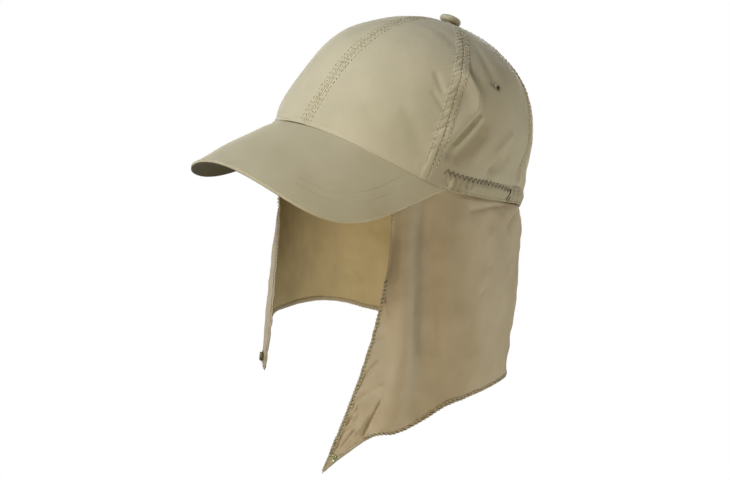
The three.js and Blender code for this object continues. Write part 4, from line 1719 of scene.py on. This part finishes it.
    def bar_tacks(self) -> Piece:
        """Sews the short slanted bars in front of the back seams.

        Returns:
            The stitches.
        """
        rows = []
        for sign in (1, -1):
            for start, high, low in ((113.6, 0.78, 0.2), (114.2, 0.34, 0.08)):
                step = np.linspace(0, 1, 14)
                az = sign * np.radians(start - 4.0 * (high - low) * step)
                rows.append(self.row(az, high + (low - high) * step, 0.25))
        return TACK_STITCH.sew("band_bar_tacks", rows, self.finishes.dark_thread_and_needle_hole_shade)


# Hang lines of the cape from its left front edge round the back to the right one:
# azimuth at the rim, then azimuth and distance from the middle a third and two thirds of
# the way down and at the hem, then the height of the hem
DRAPE = (
    (40, 42.6, 90, 31.6, 97.4, 14.9, 99.9, -203),
    (45, 45, 91, 36, 98.5, 21.2, 100.4, -191),
    (50, 49, 91, 43.5, 98.5, 30.5, 99.5, -175.5),
    (55, 53, 90.5, 48.6, 98.5, 38.5, 100, -163.5),
    (61, 58, 89.5, 54, 95, 46, 97.5, -162.5),
    (67, 64, 90, 60, 93.5, 54.5, 95.5, -159.5),
    (75, 73, 92, 71, 96.5, 66, 97.5, -149),
    (86, 85, 93, 84, 96.5, 80, 96, -143.5),
    (98, 98, 90.5, 98, 91.5, 96, 92, -144),
    (112, 112, 89, 113, 89, 113, 87, -150),
    (128, 128, 90, 129, 88, 129, 84, -157),
    (145, 145, 90.5, 146, 87, 147, 83.5, -160),
    (163, 163, 92, 164, 91, 165, 90, -160),
    (180, 180, 90.5, 180, 88, 180, 86.5, -158),
    (197, 197, 91.5, 197, 90.5, 197, 90, -155),
    (215, 215, 91, 215, 89, 215, 88, -151),
    (233, 234, 91.5, 235, 90.5, 236, 90, -146),
    (249, 250, 91.5, 251, 94, 252, 94.5, -137.5),
    (263, 263, 92, 264, 95.5, 264, 96.5, -132.5),
    (275, 276, 91, 277, 95, 278, 96.5, -129),
    (286, 288, 90, 289, 94.5, 290, 96.5, -126),
    (295, 298, 89, 300, 94.5, 300.5, 97, -123.5),
    (303, 305, 89, 308.5, 95.5, 309, 98.5, -131),
    (309, 311, 87.5, 315, 94.5, 315.5, 99, -141),
    (315, 316, 86, 322, 93, 321.3, 100.5, -151),
    (320, 319.5, 85.5, 328, 91.5, 325.8, 99.6, -154),
)


# Folds of the hanging cloth: path in shares across and down, width and depth in mm. The
# first group shows on both sides, the second one only beside the left corner.
SIDE_FOLDS = (
    (((0.274, 0.07), (0.34, 0.03), (0.402, 0.012)), 7.0, 1.6),
    (((0.36, 0.135), (0.386, 0.07)), 5.0, 1.3),
    (((0.280, 0.475), (0.292, 0.450)), 3.5, 0.8),
    (((0.300, 0.350), (0.308, 0.335)), 3.0, 0.6),
    (((0.196, 0.40), (0.206, 0.55), (0.214, 0.68)), 4.5, 0.7),
    (((0.232, 0.52), (0.238, 0.70)), 4.0, 0.5),
    (((0.262, 0.60), (0.258, 0.86)), 4.0, 0.5),
    (((0.300, 0.56), (0.300, 0.80)), 5.0, 0.5),
    (((0.176, 0.215), (0.190, 0.34)), 12.0, 1.2),
    (((0.335, 0.80), (0.342, 0.94)), 12.0, 1.4),
)
CORNER_FOLDS = (
    (((0.078, 0.33), (0.088, 0.475), (0.112, 0.68), (0.146, 0.88)), 52.0, -6.0),
    (((0.168, 0.14), (0.180, 0.475), (0.198, 0.68), (0.228, 0.92)), 44.0, 4.4),
    (((0.004, 0.500), (0.030, 0.492), (0.062, 0.500)), 4.0, 1.4),
    (((0.004, 0.545), (0.056, 0.553)), 3.6, 1.3),
    (((0.020, 0.415), (0.036, 0.445), (0.050, 0.478)), 4.6, 1.9),
    (((0.006, 0.672), (0.028, 0.656), (0.052, 0.638)), 4.2, 1.6),
    (((0.018, 0.690), (0.050, 0.664)), 3.6, 1.3),
    (((0.004, 0.595), (0.040, 0.600)), 3.2, 0.6),
    (((0.081, 0.930), (0.084, 0.885), (0.091, 0.835)), 6.5, 2.6),
    (((0.064, 0.900), (0.070, 0.860)), 6.0, -1.9),
    (((0.034, 0.790), (0.044, 0.810), (0.050, 0.840)), 4.5, 1.8),
    (((0.018, 0.830), (0.030, 0.822)), 4.0, 1.4),
    (((0.016, 0.885), (0.026, 0.862), (0.040, 0.870)), 4.0, 1.6),
    (((0.040, 0.925), (0.052, 0.900)), 4.0, 1.8),
    (((0.012, 0.930), (0.022, 0.915)), 3.6, 1.3),
    (((0.010, 0.760), (0.050, 0.745), (0.085, 0.752)), 5.0, 1.0),
)


@dataclass
class Cape:
    """The long hanging cloth with its rolled hem and press studs.

    Attributes:
        form: the crown it hangs from.
        peak: the peak's form, for the seat near its ends.
        finishes: the materials.
        cloth: thickness of the cloth, mm.
        solid_cloth: thickness of the crown's solid wall, mm.
        tuck_height, tuck_clear: how far its top goes up inside the crown, and clear of it, mm.
        columns, rows: points across and down.
        across_scale, down_scale, drop: nominal size that folds and patterns are laid out on,
            and nominal drop to the hem, mm.
        hem_width, hem_thick: size of the rolled hem, mm.
        twist: distance between the hem's twists, mm.
        rope_side, rope_hem: shares down the left edge and across the hem where the twist
            grows and fades.
        soft_form, streak_form, ridge_form: height and size of the cloth's irregular waves, of
            the streaks low down and of its ridges, mm.
        crumple_form, crease_form, tip_form: the same for small crumples, for the creases
            between them and for the crumples of the left tip.
        pucker_form: height of the puckers along the edges and the distance between them, mm.
        flare: how far the cloth puffs out below the band at the sides, mm.
        flare_azimuth: azimuths where that grows and fades, degrees.
        back_flare: bump behind of the same puff, in mm round an azimuth in degrees.
        snap_radius: radius of a press stud, mm.
        snaps: shares across and down of the studs on the left and the right corner.
    """

    form: CrownForm
    peak: PeakForm
    finishes: Finishes
    cloth: float = 0.6
    solid_cloth: float = 1.2
    tuck_height: float = 9.0
    tuck_clear: float = 0.95
    columns: int = 330
    rows: int = 128
    across_scale: float = 620.0
    down_scale: float = 160.0
    drop: float = 150.0
    hem_width: float = 3.7
    hem_thick: float = 1.9
    twist: float = OVERLOCK_STITCH.spacing
    rope_side: tuple[float, ...] = (0.33, 0.38, 0.88, 0.96)
    rope_hem: tuple[float, ...] = (0.085, 0.115, 0.93, 0.96)
    soft_form: Pair = (1.6, 44.0)
    streak_form: Pair = (0.22, 8.0)
    ridge_form: Pair = (1.3, 27.0)
    crumple_form: Pair = (0.6, 12.0)
    crease_form: Pair = (1.1, 17.0)
    tip_form: Pair = (3.2, 9.0)
    pucker_form: Pair = (0.35, 9.0)
    flare: float = 1.6
    flare_azimuth: tuple[float, ...] = (68.0, 84.0, 137.5, 166.2)
    back_flare: Bump = (2.9, 128.0, 22.0)
    snap_radius: float = 3.1
    snaps: Pairs = ((0.029, 0.968), (0.958, 0.972))

    def seat(self, degrees: Grid, height: Grid) -> Grid:
        """Place inside the rim where the cloth starts.

        Args:
            degrees: azimuths in degrees.
            height: heights above the rim, mm.

        Returns:
            Places in the part's frame, mm.
        """
        az = np.radians(degrees)
        near, far = np.cos(np.radians(self.peak.end)), np.cos(np.radians(self.peak.end + 12))
        on_peak = smoothstep(np.cos(az), far, near)
        inset = self.solid_cloth + self.tuck_clear + on_peak * (self.peak.seat - self.solid_cloth)
        turn = self.form.turn_at(az, height)
        folds = self.form.fold_depth(az, turn, SLACK)
        return self.form.point(az, turn, -inset - folds)

    def lines(self) -> Grid:
        """The four points of each hang line.

        Returns:
            Lines by 4 by 3 places: rim, upper, lower and hem.
        """
        table = np.array(DRAPE, float)
        rim = self.seat(table[:, 0], np.zeros(len(table)))
        rows = [rim]
        for column, share in ((1, 1 / 3), (3, 2 / 3), (5, 1.0)):
            azimuth, distance = np.radians(table[:, column]), table[:, column + 1]
            z = rim[:, 2] + (table[:, 7] - rim[:, 2]) * share
            rows.append(joined(distance * np.sin(azimuth), -distance * np.cos(azimuth), z))
        return np.stack(rows, axis=1)

    def smooth(self, across: Grid, down: Grid) -> Grid:
        """Point of the smooth drape.

        Args:
            across: shares across.
            down: shares down.

        Returns:
            Places in the part's frame, mm.
        """
        rows = along(self.lines().reshape(len(DRAPE), 12), across * (len(DRAPE) - 1))
        rim, upper, lower, hem = np.moveaxis(rows.reshape(*across.shape, 4, 3), -2, 0)
        v = (down * 3)[..., None]
        return (
            rim * ((1 - v) * (2 - v) * (3 - v)) / 6 + upper * (v * (2 - v) * (3 - v)) / 2
            + lower * (v * (v - 1) * (3 - v)) / 2 + hem * (v * (v - 1) * (v - 2)) / 6
        )

    def normal(self, across: Grid, down: Grid) -> Grid:
        """Outward direction of the smooth drape.

        Args:
            across: shares across.
            down: shares down.

        Returns:
            The directions.
        """
        step = 0.004
        a, d = np.clip(across, step, 1 - step), np.clip(down, step, 1 - step)
        run = self.smooth(a + step, d) - self.smooth(a - step, d)
        fall = self.smooth(a, d + step) - self.smooth(a, d - step)
        return unit(np.cross(fall, run))

    def relief(self, across: Grid, down: Grid) -> Grid:
        """Height of the crumples and puckers above the smooth drape.

        Args:
            across: shares across.
            down: shares down.

        Returns:
            Heights in millimetres.
        """
        here = self.smooth(across, down)
        run, fall = across * self.across_scale, down * self.down_scale
        tall = joined(run, fall * 0.3, run * 0)
        uneven = waves(tall, self.soft_form, 41) + ridges(here, self.ridge_form, 47)
        streaks = waves(tall * np.array([1.0, 0.5, 1.0]), self.streak_form, 43)
        tip = smoothstep(down, 0.72, 0.85) * (1 - smoothstep(across, 0.05, 0.11))
        crumple = waves(here, self.crumple_form, 53) + ridges(here, self.crease_form, 59, 0.25)
        uneven = uneven + crumple * (1 + 1.2 * tip) + waves(here, self.tip_form, 67) * tip
        uneven = uneven + streaks * smoothstep(down, 0.3, 0.6)
        hang = smoothstep(down, 0.0, 0.12)
        turned = np.abs(np.degrees(np.arctan2(here[..., 0], -here[..., 1])))
        puffed = self.flare * between(turned, self.flare_azimuth) + bump(turned, *self.back_flare)
        flare = puffed * between(down, (0.0, 0.025, 0.03, 0.34))
        to_hem = (1 - down) * self.drop
        to_side = np.minimum(across, 1 - across) * self.across_scale
        edge = np.minimum(to_hem, to_side)
        travel = np.where(to_side < to_hem, fall, run)
        wander = cloth_noise(joined(travel, edge * 0.5, run * 0), 9.0, 61)
        high, pitch = self.pucker_form
        pucker = high * np.sin(2 * np.pi * travel / pitch + 6.0 * wander) * np.exp(-edge / 4.0)
        # The sewn edge keeps the cloth stiller
        loose = uneven * (0.35 + 0.65 * smoothstep(edge, 0.0, 3.0))
        folds = self.fold_depth(across, down, SIDE_FOLDS + CORNER_FOLDS)
        folds = folds + self.fold_depth(1 - across, down, SIDE_FOLDS)
        settled = hang * (loose + pucker) - folds * smoothstep(down, 0.0, 0.03)
        for share, drop in self.snaps:
            stud = self.smooth(np.array([share]), np.array([drop]))[0]
            settled = settled * smoothstep(np.linalg.norm(here - stud, axis=-1), 3.0, 9.0)
        return settled + flare

    def fold_depth(self, across: Grid, down: Grid, folds: Sequence[tuple]) -> Grid:
        """Depth of the larger folds of the hanging cloth.

        Args:
            across: shares across.
            down: shares down.
            folds: rows of path, width and depth.

        Returns:
            Depths in millimetres.
        """
        scale = np.array([self.across_scale, self.down_scale])
        here = joined(across, down) * scale
        deep = np.zeros(across.shape)
        for path, wide, depth in folds:
            gap, _ = to_path(here, np.array(path) * scale)
            # A wide fold is rounded, a narrow one is creased
            deep = deep + depth * (bell(gap, 0.8 * wide) if wide > 12.0 else crease(gap, wide))
        return deep

    def surface(self, across: Grid, down: Grid, above: Grid | float = 0.0) -> Grid:
        """Point of the cloth's outer face."""
        height = self.relief(across, down) + above
        return self.smooth(across, down) + self.normal(across, down) * height[..., None]

    def sheet(self) -> Piece:
        """Builds the cloth as a thin closed wall, tucked up inside the crown.

        Returns:
            The sheet.
        """
        across = np.linspace(0, 1, self.columns)[:, None]
        down = np.linspace(0, 1, self.rows)[None, :]
        across, down = np.broadcast_arrays(across, down)
        outer = self.surface(across, down)
        facing = unit(np.cross(np.gradient(outer, axis=0), np.gradient(outer, axis=1)))
        side = np.sum(facing * self.normal(across, down), axis=-1, keepdims=True)
        inner = outer - facing * np.where(side < 0, -1.0, 1.0) * self.cloth
        degrees = along(np.array(DRAPE, float)[:, :1], across[:, 0] * (len(DRAPE) - 1))[:, 0]
        heights = (self.tuck_height, self.tuck_height * 0.75, self.tuck_height / 2, 1.5)
        tucked = np.stack([self.seat(degrees, np.full(degrees.shape, h)) for h in heights], axis=1)
        inwards = -tucked * np.array([1.0, 1.0, 0.0])
        outer = np.concatenate([tucked, outer], axis=1)
        inner = np.concatenate([tucked + unit(inwards) * self.cloth, inner], axis=1)
        points, faces = wall_mesh(outer, inner)
        above = np.repeat(-np.array([heights]), self.columns, axis=0)
        down_mm = np.concatenate([above, down * self.drop], axis=1)
        run = np.repeat(across[:, :1] * self.across_scale, down_mm.shape[1], axis=1)
        flat = joined(run, down_mm).reshape(-1, 2) * MM
        piece = mesh_piece("cape_cloth_sheet", points, faces, self.finishes.cape, flat)
        columns, rows = outer.shape[:2]
        # The inner face takes a warmer, brighter copy of the cloth: painted bounce light inside the cape
        paint_inner_face(piece, self.finishes.lining, (columns - 1) * (rows - 1))
        declare("cape")
        return piece

    def border(self, count: int, inset: float) -> tuple[Grid, Grid]:
        """Shares across and down along the hemmed edges, from the left rim to the right rim.

        Args:
            count: number of points.
            inset: distance from the edge, mm.

        Returns:
            The shares of each point, evenly spaced along the edge.
        """
        side = inset / self.across_scale
        low = 1 - inset / self.drop
        corners = np.array([(side, 0.02), (side, low), (1 - side, low), (1 - side, 0.02)])
        rough = np.concatenate([np.linspace(corners[k], corners[k + 1], 400)[:-1] for k in range(3)])
        run = path_length(self.smooth(rough[:, 0], rough[:, 1]))
        even = np.linspace(0, run[-1], count)
        return np.interp(even, run, rough[:, 0]), np.interp(even, run, rough[:, 1])

    def roped(self, across: Grid, down: Grid) -> Grid:
        """How much the hem is twisted: 1 on the overlocked part, 0 where it is plainly sewn."""
        near = np.where(across < 0.012, between(down, self.rope_side), 0.0)
        return np.maximum(near, np.where(down > 0.9, between(across, self.rope_hem), 0.0))

    def hem(self) -> Piece:
        """Builds the rolled hem, twisted like a rope where it is overlocked.

        Returns:
            The hem.
        """
        count = 1700
        across, down = self.border(count, 1.0)
        centre = self.surface(across, down, -self.cloth / 2)
        weights = np.ones(9) / 9
        padded = np.concatenate([centre[:1].repeat(4, 0), centre, centre[-1:].repeat(4, 0)])
        centre = np.stack([np.convolve(padded[:, k], weights, "valid") for k in range(3)], axis=-1)
        tangent = unit(np.gradient(centre, axis=0))
        outward = self.normal(across, down)
        sideways = unit(np.cross(tangent, outward))
        outward = unit(np.cross(sideways, tangent))
        run = path_length(centre)
        angle = np.linspace(0, 2 * np.pi, 14, endpoint=False)[None, :]
        plain = 1 - self.roped(across, down)[:, None]
        far = smoothstep(across, 0.95, 0.99)[:, None]
        phase = 2 * np.pi * run[:, None] / self.twist
        rope = 0.28 * (1 - plain) * np.cos(phase - angle) + 0.06 * np.cos(phase * 0.31 + 1.0)
        wide = self.hem_width / 2 * (1 - 0.4 * plain - 0.15 * far) + rope
        thick = self.hem_thick / 2 * (1 - 0.2 * plain - 0.15 * far) + rope * 0.8
        ring = (
            centre[:, None] + sideways[:, None] * (wide * np.cos(angle))[..., None]
            + outward[:, None] * (thick * np.sin(angle))[..., None]
        )
        points, faces = tube_mesh(ring)
        flat = np.stack(np.broadcast_arrays(run[:, None], angle * 1.5), axis=-1)
        flat = np.concatenate([flat[:1], flat, flat[-1:]]).reshape(-1, 2) * MM
        piece = mesh_piece("cape_rolled_hem", points, faces, self.finishes.hem, flat)
        return piece

    def hem_stitches(self) -> Piece:
        """Sews the slanted overlock thread round the twisted part of the hem.

        Returns:
            The stitches.
        """
        across, down = self.border(1200, 1.0)
        lifted = self.surface(across, down, 0.5)
        shown = self.roped(across, down) > 0.5
        facing = self.normal(across, down)
        rows = [(lifted[run], facing[run]) for run in stretches(shown)]
        return OVERLOCK_STITCH.sew("hem_overlock_stitches", rows, self.finishes.overlock)

    def corner_stitches(self) -> Piece:
        """Sews the plain double row round the corners and up the smooth edges.

        Returns:
            The stitches.
        """
        rows = []
        for inset in (1.2, 3.6):
            across, down = self.border(1200, inset)
            shown = self.roped(across, down) < 0.5
            line = self.surface(across, down, 0.95 if inset < 2 else 0.15)
            facing = self.normal(across, down)
            rows.extend((line[run], facing[run]) for run in stretches(shown))
        return HEM_STITCH.sew("hem_plain_stitches", rows, self.finishes.groove_thread)

    def snap(self, side: str, across: float, down: float, outer: Pairs, inner: Pairs,
             replaced: tuple[str, str], metal: Material) -> list[Piece]:
        """Builds the two halves of one press stud, on the outer and the inner face.

        Args:
            side: left or right.
            across: share across of its middle.
            down: share down of its middle.
            outer: radius and height of the outer half's rings as shares of its radius.
            inner: the same for the inner half.
            replaced: names of the solids that the halves stand for.
            metal: finish of both.

        Returns:
            The two halves.
        """
        spot = (np.array([across]), np.array([down]))
        outward = self.normal(*spot)[0]
        halves = []
        for label, profile, sign, node in (
            ("face", outer, 1.0, replaced[0]), ("back", inner, -1.0, replaced[1]),
        ):
            point = self.surface(*spot, 0.2 if sign > 0 else -self.cloth - 0.2)[0]
            rings = [(a * self.snap_radius, b * self.snap_radius) for a, b in profile]
            seat = seat_at(point, outward * sign)
            half = mesh_piece(f"snap_{side}_{label}", *turned_mesh(rings, 40, seat), metal)
            declare(node)
            halves.append(half)
        return halves

    def build(self) -> list[Piece]:
        """Builds the cape.

        Returns:
            Its pieces: sheet, hem, two pieces of stitches and the halves of the press studs.
        """
        pieces = [self.sheet(), self.hem(), self.hem_stitches(), self.corner_stitches()]
        ring = ((0.9, -0.2), (1.0, 0.0), (1.02, 0.18), (0.94, 0.32), (0.78, 0.34), (0.64, 0.24),
                (0.56, 0.08), (0.34, 0.03), (0.1, 0.02))
        stud = ((0.95, -0.2), (1.0, 0.1), (0.85, 0.25), (0.5, 0.3), (0.42, 0.55), (0.48, 0.75),
                (0.36, 0.9), (0.1, 0.94))
        dome = ((0.9, -0.2), (1.08, 0.05), (1.16, 0.35), (1.1, 0.62), (0.9, 0.8), (0.55, 0.88), (0.1, 0.9))
        socket = ((0.95, -0.2), (1.0, 0.1), (0.98, 0.42), (0.8, 0.5), (0.6, 0.46), (0.5, 0.2), (0.1, 0.18))
        # The near stud takes the lighter copy of the brass, painted light, and the far one the darker
        # copy, painted shade
        pieces.extend(self.snap("left", *self.snaps[0], ring, stud,
                                ("snap_cap_left", "snap_stud_left"), self.finishes.brass_painted_light))
        pieces.extend(self.snap("right", *self.snaps[1], dome, socket,
                                ("snap_cap_right", "snap_socket_right"), self.finishes.brass))
        return pieces


# Stage and camera


@dataclass(frozen=True)
class SoftLight:
    """A square studio light.

    Attributes:
        name: name of the light.
        azimuth: direction it comes from, degrees from the wearer's front to the left.
        elevation: height above the horizon, degrees.
        power: power, W.
        colour: colour, sRGB hex.
        size: side of the square, m.
        distance: distance from the hat, m.
    """

    name: str
    azimuth: float
    elevation: float
    power: float
    colour: str
    size: float = 0.7
    distance: float = 1.6

    def hang(self, target: Vector) -> None:
        """Hangs the light.

        Args:
            target: place that it points at, m.
        """
        lamp = bpy.data.lights.new(self.name, "AREA")
        lamp.shape = "SQUARE"
        lamp.size = self.size
        lamp.energy = self.power
        lamp.color = linear(self.colour)[:3]
        holder = add_object(self.name, lamp)
        back = towards(self.azimuth, self.elevation)
        holder.location = target + back * self.distance
        holder.rotation_mode = "QUATERNION"
        holder.rotation_quaternion = (-back).to_track_quat("-Z", "Y")


@dataclass
class Studio:
    """The pale floor, the soft lights and the camera.

    Attributes:
        azimuth: camera's azimuth, degrees.
        elevation: camera's elevation, degrees.
        distance: camera's distance from its target, mm.
        sideways: how far the target lies to the camera's right of the origin, mm.
        height: height of the target, mm.
        lens: focal length for a 36 mm wide sensor, mm.
        floor: height of the floor, mm.
        ambient: strength of the white surroundings as a light.
        lights: the studio lights.
    """

    azimuth: float = 47.3
    elevation: float = 18.9
    distance: float = 1000.0
    sideways: float = -22.7
    height: float = -55.4
    lens: float = 66.66
    floor: float = -330.0
    ambient: float = 0.004
    lights: tuple[SoftLight, ...] = (
        SoftLight("key_light", -15.0, 42.0, 10.5, "#FFF9FC", 0.35),
        SoftLight("high_key_light", -22.0, 50.0, 13.8, "#C6E2FF", 0.35),
        SoftLight("front_light", 30.0, 5.0, 11.1, "#FFF3DC"),
        SoftLight("low_side_light", 90.0, -30.0, 9.7, "#F9FDFF"),
        SoftLight("back_side_light", 150.0, -10.0, 12.5, "#FEFEF6"),
        SoftLight("back_light", 205.0, 0.0, 9.0, "#FFF9EC"),
        SoftLight("far_back_light", 235.0, 0.0, 11.0, "#FFF9EC"),
        SoftLight("top_light", 0.0, 88.0, 4.6, "#FFF2EC"),
        SoftLight("low_front_light", 0.0, -50.0, 3.6, "#FFF2E0"),
        SoftLight("far_light", -85.0, -12.0, 9.0, "#F4F6FF"),
    )

    def camera(self) -> Piece:
        """Makes the camera at the photograph's angle.

        Returns:
            The camera.
        """
        back = towards(self.azimuth, self.elevation)
        right = -towards(self.azimuth - 90.0, 0.0)
        target = right * self.sideways * MM + Vector((0, 0, self.height * MM))
        data = bpy.data.cameras.new("photo_camera")
        data.sensor_width = 36.0
        data.lens = self.lens
        data.clip_start = 0.05
        camera = add_object("photo_camera", data)
        camera.location = target + back * self.distance * MM
        up = back.cross(right)
        camera.rotation_mode = "QUATERNION"
        camera.rotation_quaternion = Matrix((right, up, back)).transposed().to_quaternion()
        bpy.context.scene.camera = camera
        return camera

    def ground(self) -> Piece:
        """Makes the plain pale floor.

        Returns:
            The floor, a slab that the cloth neither mirrors nor is shaded by.
        """
        material = bpy.data.materials.new("pale_floor_paint")
        tree = empty_tree(material)
        glow = add_node(tree, "ShaderNodeEmission", Color=(1.0, 1.0, 1.0, 1.0), Strength=1.0)
        add_node(tree, "ShaderNodeOutputMaterial", Surface=glow)
        edge = np.array([-20000.0, 20000.0])
        thick = 10.0
        top = joined(*np.broadcast_arrays(edge[:, None], edge, self.floor))
        floor = mesh_piece("studio_floor", *wall_mesh(top, top - (0, 0, thick)), material)
        floor.data.shade_flat()
        # The low lights stand for what a bright table throws up, so the floor doesn't stop them
        floor.visible_diffuse = False
        floor.visible_glossy = False
        floor.visible_transmission = False
        floor.visible_shadow = False
        floor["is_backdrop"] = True
        return floor

    def surroundings(self) -> None:
        """Makes the white surroundings, dimmer as a light than as a background."""
        world = bpy.data.worlds.new("white_studio")
        bpy.context.scene.world = world
        tree = empty_tree(world)
        node = partial(add_node, tree)
        path = node("ShaderNodeLightPath")
        seen = node("ShaderNodeBackground", Color=(1.0, 1.0, 1.0, 1.0), Strength=1.0)
        light = node("ShaderNodeBackground", Color=linear("#F4F4FA"), Strength=self.ambient)
        both = node("ShaderNodeMixShader", s0=path.outputs["Is Camera Ray"], s1=light, s2=seen)
        node("ShaderNodeOutputWorld", Surface=both)

    def build(self) -> None:
        """Sets up the stage."""
        bpy.context.scene.view_settings.view_transform = "Standard"
        self.camera()
        self.ground()
        self.surroundings()
        for light in self.lights:
            light.hang(Vector((0.0, 0.0, -0.03)))


def main(packed_box: tuple[Vector, Vector]) -> None:
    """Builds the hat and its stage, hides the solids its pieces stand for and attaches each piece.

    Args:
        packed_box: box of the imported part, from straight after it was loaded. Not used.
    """
    finishes = Finishes()
    peak_form = PeakForm()
    crown_form = CrownForm(peak_form)
    groups: dict[str, list[Piece]] = {}
    groups["crown"] = Crown(crown_form, finishes).build()
    groups["peak"] = Peak(peak_form, crown_form, finishes).build()
    groups["side band"] = SideBand(crown_form, finishes).build()
    groups["cape"] = Cape(crown_form, peak_form, finishes).build()
    for label, pieces in groups.items():
        for piece in pieces:
            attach(piece, "root")
            LOG.info("%s: %s has %d faces", label, piece.name, len(piece.data.polygons))
    Studio().build()


if __name__ == "__main__":
    logging.basicConfig(level=logging.INFO, format="%(message)s")
    main(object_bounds())
